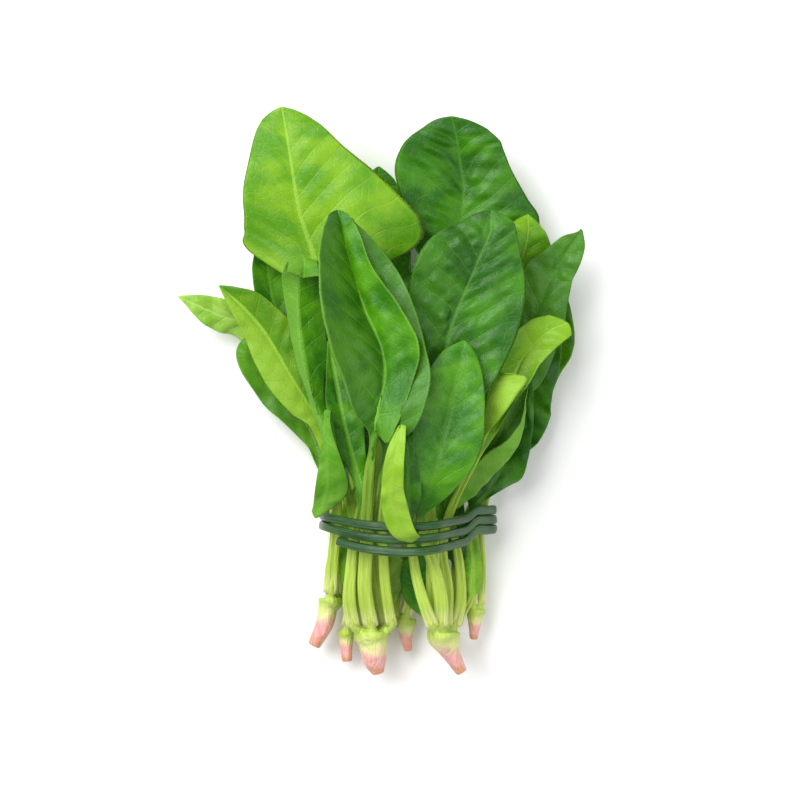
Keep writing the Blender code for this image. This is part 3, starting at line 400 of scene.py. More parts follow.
FRONT_LEAVES = [
    leaf(
        "inner_pale", "front", tone="pale",
        stem=[(-1, 12), (-1, -112, 14)],
        rows=[narrow(0, -111, 16, 2.4),
         ((-4.5, -106, 0), (1.5, -106, 18), (8, -106, 0)), ((-6, -96, 1), (3, -96, 20), (11, -97, 1)),
         ((-6, -86, 1), (3, -86, 22), (12, -86, 1)), tip(3, -75, 24)],
        width=3.6,
    ),
    leaf(
        "inner_dark", "front_right", tone="green",
        stem=[(26, 12), (24, -113, 14)],
        rows=[narrow(22, -112, 16, 2.6),
         ((13, -106, 1), (19, -106, 18), (25, -107, 1)), ((10, -97, 2), (17, -97, 20), (25, -97, 2)),
         ((11, -86, 1), (18, -86, 22), (26, -86, 1)), tip(18, -75, 24)],
        width=3.6,
    ),
    leaf(
        "inner_left", "front", tone="bright",
        stem=[(-9, 12), (-13, -110, 15), (-16, -101, 18)],
        rows=[narrow(-17, -96, 18, 1.8),
         ((-21, -88, 0), (-16, -88, 20), (-10, -88, 0)), ((-21.5, -76, 0), (-16, -76, 22), (-9, -76, 0)),
         ((-20, -64, 1), (-15, -64, 24), (-10, -64, 1)), ((-18.5, -54, 2), (-13.5, -54, 27), (-9, -55, 2)),
         tip(-12, -46, 30)],
        width=4.0,
    ),
    leaf(
        "inner_right", "front_right", tone="bright",
        stem=[(38, 12), (41, -111, 14), (44.5, -106, 16)],
        rows=[narrow(46, -102, 18, 2.2),
         ((41, -96, 1), (46, -96, 20), (51, -97, 0)), ((41, -84, 1), (46.5, -84, 22), (51, -85, 0)),
         ((42, -72, 1), (45.5, -72, 24), (48.5, -73, 0)), tip(45, -60, 26)],
        width=4.6,
    ),
    leaf(
        "tucked_right", "front_right", tone="dark",
        stem=[(35, 14), (36, -112, 17), (37.5, -96, 20)],
        rows=[narrow(38, -85, 22),
         ((30, -82, 0), (37, -80, 24), (43.5, -82.5, 0)), ((30, -70, 0), (36, -70, 26), (43, -70, 0)),
         ((28, -58, 1), (35, -57, 28), (42, -57, 1)), ((28, -47, 1), (34, -45, 32), (40, -47, 1)),
         tip(33, -36, 36)],
    ),
    leaf(
        "hooded", "front", tone="green", pucker=0.5, ruffle=0.4, tip_round=False, half_shading_and_pallor=(0.6, -0.1),
        stem=[(-11, 13), (-14, -112, 18), (-14, -92, 22), (-12, -72, 26), (-18, -45, 40)],
        width=5.6,
        rows=[narrow(-26, -22, 50),
         ((-39, 4, -4), (-35, 2, 55), (-28, 2, -3)), ((-44, 24, -4), (-39, 24, 58), (-26.5, 24, -5)),
         ((-48, 46, -4), (-41, 44, 60), (-28, 44, -5)), ((-49, 59, -1), (-40, 60, 62), (-28.5, 57, -2)),
         ((-46, 66, 2), (-38, 68, 66), (-31, 65.5, 2)), ((-46, 60, 4), (-38, 57, 72), (-30, 58, 3))],
    ),
    leaf(
        "middle_left", "front", tone="green", pucker=0.7, ruffle=0.6, half_shading_and_pallor=(-0.2, 0.0),
        stem=[(-14, 15), (-16, -112, 20), (-15, -92, 24), (-13, -72, 28), (-10.5, -60, 38)],
        width=5.4,
        rows=[narrow(-9.5, -49, 50, 2.2),
         ((-18, -35, 1), (-13, -35, 54), (-7, -36, 0)), ((-24, -20, 2), (-17, -19, 58), (-8, -20, 1)),
         ((-27, -8, 2), (-20, -6, 60), (-10, -8, 3)), ((-27, 5, 2), (-22, 6, 61), (-17, 3, 2)),
         ((-26.5, 16, 1), (-24, 16, 61), (-21, 14, 1)), tip(-25.5, 26, 61)],
    ),
    leaf(
        "rolled_right", "front_right", tone="green", pucker=0.4, ruffle=0.5, half_shading_and_pallor=(0.2, 0.2), rib=0.3,
        stem=[(37, 15), (40, -108, 18), (40, -90, 20), (37, -72, 24)],
        rows=[narrow(32, -61, 28, 4.5),
         ((29.5, -47, 0), (32, -50, 0), (38, -53, 30), (48, -58, 2), (31, -54, 7)),
         ((44, -30, 0), (46, -32, 0), (51, -38, 34), (63, -45, 3), (45, -38, 9)),
         ((54, -14, 0), (57, -16, 0), (61, -24, 36), (73, -33, 4), (56, -27, 9)),
         ((62, 2, 0), (64, 0, 0), (68, -8, 38), (75, -15, 2), (69, -18, 7)),
         ((70, 12, 0), (71, 10, 0), (72, 6, 39), (74, 4, 1), (74, 2, 2))],
    ),
    leaf(
        "funnel", "front_right", tone="bright", pucker=0.4, ruffle=0.4, half_shading_and_pallor=(0.0, 0.3),
        stem=[(33, 17), (34, -108, 20), (33, -90, 23), (31, -72, 26), (40, -48, 36)],
        rows=[narrow(51, -27, 44),
         ((61, -11, 14), (46, -12, 7), (58, -10, 43), (61, -11, 1), (63, -12, 4)),
         ((69, 0, 18), (43, 3, 9), (64, 2, 43), (67, 1, 1), (70, 0, 4)),
         ((73, 8, 19), (44, 9, 11), (68, 12, 44), (72, 10, 1), (76, 8, 4)),
         ((57, 11, 13), (58, 13, 4), (71, 18, 45), (76, 17, 1), (80, 15, 4)),
         ((63, 26, 8), (68, 25, 1), (77, 25, 47), (82, 24, 1), (86.5, 21, 3)),
         ((74, 36, 2), (79, 34, 1), (84, 31, 50), (88, 29, 1), (91.5, 25.5, 1)),
         ((84, 39, 0), (87, 38, 0), (91, 34, 51), (94, 32, 0), (95.5, 29, -1))],
    ),
    leaf(
        "centre_right", "front_right", tone="dark", pucker=1.3, ruffle=0.7, half_shading_and_pallor=(-0.25, 0.0),
        stem=[(28, 17), (27, -108, 22), (26, -90, 26), (26, -72, 30), (24, -45, 42)],
        width=5.8,
        rows=[narrow(27, -10, 56),
         ((14, 12, 2), (31, 12, 60), (54, 1, 2)), ((13, 34, 4), (36, 36, 62), (68, 30, 3)),
         ((14, 54, 5), (43, 52, 64), (72.5, 50, 3)), ((20, 71, 4), (48, 65, 66), (70.5, 65, 2)),
         ((30, 80.5, 2), (54, 78, 67), (68, 79, 1)), ((41, 86, 0), (55, 86.5, 67), (66, 85, 0))],
    ),
    leaf(
        "smooth_small", "front_right", tone="green", pucker=0.5, ruffle=0.4, rib=0.2,
        stem=[(30, 19), (31, -110, 22), (28, -92, 26), (22, -72, 30)],
        width=5.8,
        rows=[narrow(20, -60, 44),
         ((14, -45, 3), (25, -46, 60), (40, -45, 1)), ((16, -25, 5), (30, -28, 66), (50, -28, 2)),
         ((19, -5, 6), (35, -8, 69), (52, -8, 2)), ((22.5, 9, 4), (38, 9, 70), (51, 7, 1)),
         ((31, 21, 1), (41, 23, 70), (48, 18.5, 0))],
    ),
    leaf(
        "low_front", "front_right", tone="dark",
        stem=[(26, 19), (24, -112, 22), (18, -92, 26), (15, -72, 30)],
        rows=[narrow(14, -61, 44),
         ((9, -48, 2), (14, -48, 60), (20.5, -50, 0)), ((9, -32, 3), (14, -34, 66), (18.5, -36, 1)),
         ((9.5, -18, 3), (14, -20, 69), (17, -22, 1)), ((11, -5, 1), (15, -6, 70), (18, -8, 1)),
         tip(15, 5, 70)],
    ),
    leaf(
        "grey_edge", "front", tone="dark", pucker=0.7, ruffle=0.5, half_shading_and_pallor=(-0.4, 0.35), rim=0.8,
        stem=[(2.5, 15), (1, -112, 20), (-1, -92, 26), (-2, -72, 32), (0, -50, 48)],
        width=5.4,
        rows=[narrow(3, -29, 62),
         ((-4, -14, 1), (5, -15, 69), (18, -16, 3)), ((-8, 5, 2), (8, 4, 73), (25, 5, 4)),
         ((-8, 24, 3), (6, 24, 75), (22, 24, 4)), ((-12, 42, 3), (2, 42, 76), (17.5, 41, 2)),
         ((-18, 58, 3), (-4, 57, 77), (9.5, 59, 1)), ((-20, 72, 2), (-11, 72, 77), (-1, 73, 0)),
         tip(-14, 86, 76)],
    ),
    leaf(
        "folded_front", "front", tone="green", pucker=0.6, ruffle=0.6, half_shading_and_pallor=(-0.45, 0.0), rim=0.6,
        stem=[(-5, 17), (-7, -112, 22), (-8, -96, 28), (-7, -72, 34), (-6, -45, 52)],
        rows=[narrow(-3, -21, 68),
         ((-11, -13, 8), (-1, -7, 72), (4, -26, 4)), ((-16, 2, 15), (1.5, 5, 73), (13, 0, 7)),
         ((-22, 16, 22), (2.5, 17, 74), (20.5, 17, 9)), ((-27, 33, 26), (-4, 31, 75), (15, 33, 10)),
         ((-29, 50, 26), (-10, 48, 76), (5, 50, 10)), ((-29.5, 66, 22), (-14.5, 63, 77), (-6, 66, 8)),
         ((-28, 81, 13), (-18.5, 78, 79), (-11, 81, 4)),
         ((-25.5, 88, 3), (-20.5, 88.5, 80), (-15.5, 88, 2))],
        bow=0.0, width=6.0,
    ),
    leaf(
        "hanging_left", "left", tone="green", pucker=0.7, ruffle=0.8, rib=0.4,
        stem=[(-25, 16), (-25, -90, 20), (-22.5, -72, 24), (-22, -45, 40), (-24, -22, 52)],
        rows=[narrow(-25.5, -10, 57, 1.6),
         ((-28.5, -17, 2), (-26.5, -15, 61), (-23.5, -16, 2)),
         ((-30, -30, 0), (-26, -28, 63), (-20, -30, 0)),
         ((-31.5, -42, -1), (-26, -42, 60), (-16.5, -42, -1)),
         ((-33, -52, -1), (-27, -52, 55), (-17, -52, -2)),
         ((-34.5, -59, 0), (-32, -61.5, 48), (-27, -60, -1))],
        hangs=True,
    ),
    leaf(
        "hanging_front", "front", tone="bright", pucker=0.4, ruffle=0.5, rib=0.3,
        stem=[(5.5, 17), (4, -112, 22), (2, -92, 28), (1, -72, 34), (3, -45, 56)],
        rows=[narrow(10.5, -17, 76, 1.8),
         ((3, -30, 3), (8, -26, 80), (12.5, -26, 3)), ((0.5, -45, 0), (5.5, -45, 79), (11.5, -44, 0)),
         ((0.5, -58, 0), (6.5, -58, 72), (14, -57, 0)), ((4, -69, 0), (10.5, -68, 64), (17, -67, 0)),
         ((9, -73, -1), (14.5, -73, 58), (20, -71, 0))],
        width=4.4, hangs=True,
    ),
]

# Each plant: where its petioles meet the crown, the crown's radius, and the root's points with their radii.
# Heights follow from how the petioles lie.
PLANTS = {
    "left": {"top_y": -101, "x": -25.5, "radius": 6.3, "root": [(-28.5, -117, 4.6), (-34, -128, 3.2)]},
    "rear_left": {"top_y": -118, "x": -17.5, "radius": 4.8, "root": [(-17.5, -129, 3.2), (-17, -136, 2.6)]},
    "rear_middle": {"top_y": -112, "x": 12.5, "radius": 5.8, "root": [(13, -124, 3.2), (14, -131, 2.0)]},
    "right": {"top_y": -107, "x": 48, "radius": 5.2, "root": [(47.5, -119, 3.0), (47, -125, 2.0)]},
    "front": {"top_y": -117, "x": -4.5, "radius": 9.2, "root": [(-3, -135, 6.0), (-1, -142, 2.8)]},
    "front_right": {"top_y": -117, "x": 32, "radius": 8.5, "root": [(36, -132, 4.6), (41, -141, 2.8)]},
}


def tie_floor(pile):
    """The band passes under the petioles, so they start a band's thickness above the table there."""
    low_y = TIE_START_Y - TIE_TURNS * TIE_PITCH - 2 * TIE_RADIUS
    high_y = TIE_START_Y + 2 * TIE_RADIUS
    low, high = (int((y + REACH) / CELL) for y in (low_y, high_y))
    pile.z[:, low:high] = 2 * TIE_RADIUS + TIE_GAP


def tie_loop(placed):
    """One turn of the band seen from the roots: the petioles' convex outline, a band's radius out."""
    inside = []
    for spec, grid, half in placed.values():
        rows = PETIOLE_ROWS if spec["hangs"] else len(grid)
        for face in faces_of(grid[:rows], half[:rows]):
            points = face_points(face).reshape(-1, 3)
            low_y = TIE_START_Y - TIE_TURNS * TIE_PITCH - 1.5 * TIE_SAG - TIE_RADIUS
            near = (points[:, 1] > low_y) & (points[:, 1] < TIE_START_Y + TIE_RADIUS)
            inside.append(points[near][:, [0, 2]])
    inside = np.concatenate(inside)
    angles = np.linspace(0, 2 * math.pi, 181)
    outward = np.stack([np.cos(angles), np.sin(angles)], axis=1)
    corners = inside[np.argmax(inside @ outward.T, axis=0)]
    return corners + outward * (TIE_RADIUS + TIE_GAP)


def tie_line(placed):
    """The band's centre line: a helix along the loop that sags towards the roots across the front."""
    loop = tie_loop(placed)
    run = np.concatenate([[0], np.cumsum(np.linalg.norm(np.diff(loop, axis=0), axis=1))])
    middle = (loop.min(axis=0) + loop.max(axis=0)) / 2
    half_width = (loop[:, 0].max() - loop[:, 0].min()) / 2
    turns = np.arange(int(TIE_TURNS * TIE_POINTS_PER_TURN) + 1) / TIE_POINTS_PER_TURN
    x = np.interp(turns % 1 * run[-1], run, loop[:, 0])
    z = np.interp(turns % 1 * run[-1], run, loop[:, 1])
    across = np.clip(1 - ((x - middle[0]) / half_width) ** 2, 0, 1)
    sag = np.where(z > middle[1], TIE_SAG * (1 + TIE_SAG_GROWTH * turns) * across, 0)
    return np.stack([x, TIE_START_Y - TIE_PITCH * turns - sag, z], axis=1)


def crown_line(plant, placed):
    """A plant's crown and root, from below its petioles to the root's cut end: points, radii, stretch."""
    base_z = [grid[0, MIDDLE, 2] for spec, grid, _ in placed.values() if spec["plant"] == plant]
    made = PLANTS[plant]
    radius, x, top_y = made["radius"], made["x"], made["top_y"] - CROWN_GAP
    stretch = max(1, (max(base_z) - min(base_z) + PETIOLE_THICKNESS) / (2 * radius))
    z = max((min(base_z) + max(base_z)) / 2, stretch * radius + CLEARANCE)
    neck_x = made["root"][0][0]
    line = [(x, top_y, z), (x, top_y - 0.15 * radius, z), (x, top_y - 0.5 * radius, z)]
    line.append((x + 0.4 * (neck_x - x), top_y - 0.95 * radius, z))
    line += [(root_x, root_y, z) for root_x, root_y, _ in made["root"]]
    radii = [0.75 * radius, 0.95 * radius, radius, 0.8 * radius] + [r for _, _, r in made["root"]]
    return np.array(line), radii, stretch


def pile_up():
    """Lays all the leaves and ties them: leaf name to (spec, grid, half thickness), and the band's line."""
    pile = HeightMap()
    tie_floor(pile)
    placed = {}
    for spec in REAR_LEAVES + FRONT_LEAVES:
        half = half_thickness(spec["width"])
        grid = lay(leaf_grid(spec), half, pile)
        rows = PETIOLE_ROWS if spec["hangs"] else len(grid)
        add_to_pile(grid[:rows], half[:rows], pile)
        placed[spec["name"]] = (spec, grid, half)
    line = tie_line(placed)
    steps = np.linspace(0, len(line) - 1, 40 * len(line))
    centre = np.stack([np.interp(steps, np.arange(len(line)), line[:, k]) for k in range(3)], axis=1)
    for shift in np.linspace(-TIE_RADIUS, TIE_RADIUS, 15):
        pile.raise_to(centre + (0, shift, TIE_RADIUS))
        pile.raise_to(centre + (shift, 0, TIE_RADIUS))
    for name, (spec, grid, half) in placed.items():
        if spec["hangs"]:
            grid = lay(grid, half, pile, first=PETIOLE_ROWS)
            add_to_pile(grid, half, pile)
            placed[name] = (spec, grid, half)
    return placed, line


# The fine blades: samples in each coarse cell along the leaf, and samples across it.
PETIOLE_SAMPLES = 6
BLADE_SAMPLES = 14
ACROSS = 53
TIP_SAMPLES = 6
VISUAL_BLADE_HALF_THICKNESS = 0.3
COLUMN_CROWDING = 1.5
TIP_REACH = 0.175
VEIN_SPACING = 11.0
VEIN_SLOPE = 0.85
VEIN_BEND = 0.006

# Lengths of the waves that bend a blade, and the heights of those that aren't a leaf's own.
VEIN_WAVE, VEIN_WANDER = 34, 1.6
BROAD_WAVE, BROAD_HEIGHT = 46, 0.9
PUCKER_WAVE, RUFFLE_WAVE = 9, 17

# The band's flat section, the crowns' smoothing, and the picture, whose lengths are in metres.
BAND_HALF_WIDTH, BAND_HALF_THICKNESS = 2.3, 1.7
MELT_CELL = 0.55
FLOOR_DROP = 0.0006
VIEW_CENTRE = (9.75, -3.5)
VIEW_WIDTH = 0.4
CAMERA_DISTANCE = 2.6
BUNCH_MIDDLE = 0.05
SENSOR_WIDTH = 36

random = np.random.default_rng(11)

origin_low = np.array(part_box("top_left_leaf")[0]) / MM


def spline_weights(knots, places):
    """Rows of weights that carry values at the knots to a natural cubic spline's values at the places."""
    n = len(knots)
    h = np.diff(knots)
    system, right = np.zeros((n, n)), np.zeros((n, n))
    system[0, 0] = system[-1, -1] = 1
    for k in range(1, n - 1):
        system[k, k - 1 : k + 2] = h[k - 1], 2 * (h[k - 1] + h[k]), h[k]
        right[k, k - 1 : k + 2] = 6 / h[k - 1], -6 / h[k - 1] - 6 / h[k], 6 / h[k]
    bend = np.linalg.solve(system, right)
    k = np.clip(np.searchsorted(knots, places) - 1, 0, n - 2)
    t, step = (places - knots[k])[:, None], h[k][:, None]
    identity = np.eye(n)
    slope = (identity[k + 1] - identity[k]) / step - step * (2 * bend[k] + bend[k + 1]) / 6
    return identity[k] + t * slope + t**2 * bend[k] / 2 + t**3 * (bend[k + 1] - bend[k]) / (6 * step)


def smoothstep(low, high, value):
    t = np.clip((value - low) / (high - low), 0, 1)
    return t * t * (3 - 2 * t)


def waves(a, b, length, count=5):
    """Smooth irregular waves of about one unit, with bumps of about the given length."""
    total = np.zeros_like(a)
    for _ in range(count):
        angle, phase = random.uniform(0, 2 * math.pi, 2)
        pace = 2 * math.pi / (length * random.uniform(0.7, 1.5))
        total += np.sin((a * math.cos(angle) + b * math.sin(angle)) * pace + phase)
    return total / math.sqrt(count)


def fine_leaf(spec, grid):
    """A smooth mid-surface, with what the thickness and the material need at each of its points."""
    rows = np.concatenate([
        np.arange(0, PETIOLE_ROWS - 1, 1 / PETIOLE_SAMPLES),
        np.arange(PETIOLE_ROWS - 1, len(grid) - 1, 1 / BLADE_SAMPLES), [len(grid) - 1]])
    even = np.linspace(-1, 1, ACROSS)
    v = np.sign(even) * np.abs(even) ** COLUMN_CROWDING
    across = spline_weights(COLUMNS, v)
    surface = np.einsum("vc,rck->rvk", across, curve_at(grid, rows))
    if spec["tip_round"]:
        centre = surface[-1, ACROSS // 2]
        ahead = unit(surface[-1, ACROSS // 2] - surface[-4, ACROSS // 2])
        reach = TIP_REACH * np.linalg.norm(surface[-1, -1] - surface[-1, 0])
        extra = []
        for s in np.linspace(0, 1, TIP_SAMPLES + 1)[1:]:
            shrink = max(1 - s, 0.02)
            onward = ahead * reach * (1 - (1 - s) ** 2)
            extra.append(centre + (surface[-1] - centre) * shrink + onward)
        surface = np.concatenate([surface, extra])
        rows = np.concatenate([rows, np.full(TIP_SAMPLES, rows[-1])])
    middle = ACROSS // 2
    steps_out = np.linalg.norm(np.diff(surface, axis=1), axis=2)
    a = np.zeros(surface.shape[:2])
    a[:, middle + 1 :] = np.cumsum(steps_out[:, middle:], axis=1)
    a[:, :middle] = -np.cumsum(steps_out[:, middle - 1 :: -1], axis=1)[:, ::-1]
    along = np.concatenate([[0], np.cumsum(np.linalg.norm(np.diff(surface[:, middle], axis=0), axis=1))])
    blade_start = along[np.argmax(rows >= PETIOLE_ROWS - 1)]
    b = np.repeat((along - blade_start)[:, None], ACROSS, axis=1)
    return surface, v[None, :] * np.ones_like(a), a, b, along[-1] - blade_start


def roughen(spec, surface, v, a, b, length):
    """Bends the smooth blade: broad waves, puckers between the side veins, and a wavy margin."""
    bent_b = b + VEIN_WANDER * waves(a, b, VEIN_WAVE)
    offset = np.where(a > 0, 0.5, 0.0) + random.uniform(0, 1)
    vein = (bent_b - VEIN_SLOPE * np.abs(a) + VEIN_BEND * a**2) / VEIN_SPACING + offset
    blade = smoothstep(-4, 14, b) * smoothstep(0, 10, length - b)
    puckers = 0.5 - 0.5 * np.cos(2 * math.pi * vein)
    inner = smoothstep(0, 5, np.abs(a)) * (1 - 0.75 * np.abs(v) ** 3)
    rise = spec["pucker"] * blade * inner * (puckers - 0.5 + 0.35 * waves(a, b, PUCKER_WAVE))
    rise += BROAD_HEIGHT * blade * waves(a, b, BROAD_WAVE)
    ruffle = np.abs(v) ** 3 * waves(np.sign(a) * 40, bent_b, RUFFLE_WAVE, 4)
    rise += spec["ruffle"] * blade * ruffle
    return surface + normals(surface) * rise[..., None], vein


def fine_faces(spec, surface, v, a, b, length):
    """The upper and lower faces: a channelled petiole that runs out into a rib under a thin blade."""
    in_blade = smoothstep(-6, 10, b)
    round_section = np.sqrt(np.clip(1 - v**2, 0, 1))
    size = spec["width"] / PETIOLE_WIDTH * PETIOLE_THICKNESS / 2
    groove = 1 - 0.4 * np.exp(-((v / 0.4) ** 2))
    fade = np.clip(1 - b / length, 0, 1)
    rib_width = 0.5 + 2.1 * fade
    rib = np.exp(-((a / rib_width) ** 2)) * fade
    thin = VISUAL_BLADE_HALF_THICKNESS * (1 - v**8)
    above = (1 - in_blade) * size * round_section * groove + in_blade * (thin + 0.25 * rib)
    below = (1 - in_blade) * size * round_section * 1.1 + in_blade * (thin + 1.3 * rib)
    out = normals(surface)
    return surface + out * above[..., None], surface - out * below[..., None], np.abs(a) / rib_width


def put_in_scene(name, data):
    made = bpy.data.objects.new(name, data)
    bpy.context.scene.collection.objects.link(made)
    return made


def write_attribute(mesh, name, values):
    layer = mesh.attributes.new(name, "FLOAT_VECTOR", "POINT")
    layer.data.foreach_set("vector", values.astype(np.float32).ravel())


def grid_mesh(name, upper, lower, attributes):
    """A closed mesh of two grids that share their side edges. attributes: name to (upper, lower)."""
    rows, columns = upper.shape[:2]
    ring = 2 * columns - 2
    points = np.concatenate([upper, lower[:, -2:0:-1]], axis=1).reshape(-1, 3)
    row, j = np.meshgrid(np.arange(rows - 1), np.arange(ring), indexing="ij")
    first, second = row * ring + j, row * ring + (j + 1) % ring
    quads = np.stack([first, second, second + ring, first + ring], axis=-1).reshape(-1, 4)
    caps = [list(range(ring))[::-1], [(rows - 1) * ring + k for k in range(ring)]]
    mesh = bpy.data.meshes.new(name)
    mesh.from_pydata(points * MM, [], quads.tolist() + caps)
    for label, (top, bottom) in attributes.items():
        values = np.concatenate([top, bottom[:, -2:0:-1]], axis=1).reshape(-1, 3)
        write_attribute(mesh, label, values)
    mesh.shade_smooth()
    return put_in_scene(name, mesh)


def make_leaf(spec, grid, shift):
    surface, v, a, b, length = fine_leaf(spec, grid)
    surface, vein = roughen(spec, surface, v, a, b, length)
    upper, lower, rib = fine_faces(spec, surface, v, a, b, length)
    stem = b - b[0, 0]
    place = np.stack([a, b, stem], axis=-1)
    pattern = np.stack([vein, rib, np.abs(v)], axis=-1)
    sides = [np.stack([np.full_like(a, side), stem / 100, b / length], axis=-1) for side in (1.0, 0.0)]
    made = grid_mesh("fine_" + spec["name"], upper + shift, lower + shift,
                     {"place": (place, place), "pattern": (pattern, pattern), "side": tuple(sides)})
    made.data.materials.append(leaf_material(spec))
    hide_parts(spec["name"])
    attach(made, "root")
    return made


class Shader:
    """A short way to write a material's nodes."""

    def __init__(self, name):
        self.material = bpy.data.materials.new(name)
        self.material.use_nodes = True
        self.tree = self.material.node_tree
        self.surface = self.tree.nodes["Principled BSDF"]

    def node(self, kind, inputs=(), output=0, **settings):
        made = self.tree.nodes.new("ShaderNode" + kind)
        for key, value in settings.items():
            setattr(made, key, value)
        for key, value in dict(inputs).items():
            self.put(made.inputs[key], value)
        return made.outputs[output]

    def put(self, socket, value):
        if isinstance(value, bpy.types.NodeSocket):
            self.tree.links.new(value, socket)
        else:
            socket.default_value = value

    def maths(self, operation, *values):
        return self.node("Math", dict(enumerate(values)), operation=operation)

    def times(self, first, second):
        return self.maths("MULTIPLY", first, second)

    def plus(self, first, second):
        return self.maths("ADD", first, second)

    def mix(self, factor, first, second):
        made = self.tree.nodes.new("ShaderNodeMix")
        made.data_type = "RGBA"
        self.put(made.inputs["Factor"], factor)
        self.put(made.inputs["A"], first)
        self.put(made.inputs["B"], second)
        return made.outputs["Result"]

    def step(self, value, low, high, to_low=0.0, to_high=1.0):
        """Goes smoothly from to_low, where value is low, to to_high, where value is high."""
        inputs = {"Value": value, "From Min": low, "From Max": high, "To Min": to_low, "To Max": to_high}
        return self.node("MapRange", inputs, interpolation_type="SMOOTHSTEP")

    def attribute(self, name):
        """The x, y and z of a named attribute, and the whole vector."""
        vector = self.node("Attribute", attribute_name=name, output=1)
        made = self.tree.nodes.new("ShaderNodeSeparateXYZ")
        self.tree.links.new(vector, made.inputs[0])
        return (*made.outputs, vector)

    def noise(self, vector, scale, detail=3.0, offset=0.0):
        moved = self.node("VectorMath", {0: vector, 1: (offset, offset * 0.7, 0)}, operation="ADD")
        return self.node("TexNoise", {"Vector": moved, "Scale": scale, "Detail": detail})

    def finish(self, colour, roughness, height, distance):
        self.put(self.surface.inputs["Base Color"], colour)
        self.put(self.surface.inputs["Roughness"], roughness)
        bump = self.node("Bump", {"Height": height, "Distance": distance, "Strength": 1.0})
        self.put(self.surface.inputs["Normal"], bump)
        return self.material


def colour(red, green, blue):
    """A colour given as it looks on a screen, 0 to 255."""
    screen = np.array([red, green, blue]) / 255
    linear = np.where(screen <= 0.04045, screen / 12.92, ((screen + 0.055) / 1.055) ** 2.4)
    return (*[float(c) for c in linear], 1.0)


# Each tone: the darker and the lighter green of its upper face, its underside and its veins.
TONES = {
    # The bright tone is partly painted light: its lighter yellow-green also stands in for light shining
    # through a leaf and for leaves lit deep between the stems.
    "bright": (colour(74, 136, 4), colour(116, 164, 18), colour(138, 180, 50), colour(150, 194, 66)),
    "green": (colour(36, 102, 0), colour(74, 138, 6), colour(104, 158, 44), colour(116, 170, 54)),
    "dark": (colour(26, 84, 0), colour(60, 122, 10), colour(88, 144, 48), colour(90, 150, 44)),
    "pale": (colour(116, 168, 40), colour(156, 196, 82), colour(166, 202, 98), colour(180, 212, 116)),
}
RIB_STRENGTH = {"bright": 0.6, "green": 0.5, "dark": 0.4, "pale": 0.5}
STEM_GREEN = colour(176, 202, 80)
STEM_WHITE = colour(222, 222, 150)
CROWN_PINK = colour(228, 172, 166)
ROOT_TAN = colour(206, 152, 108)


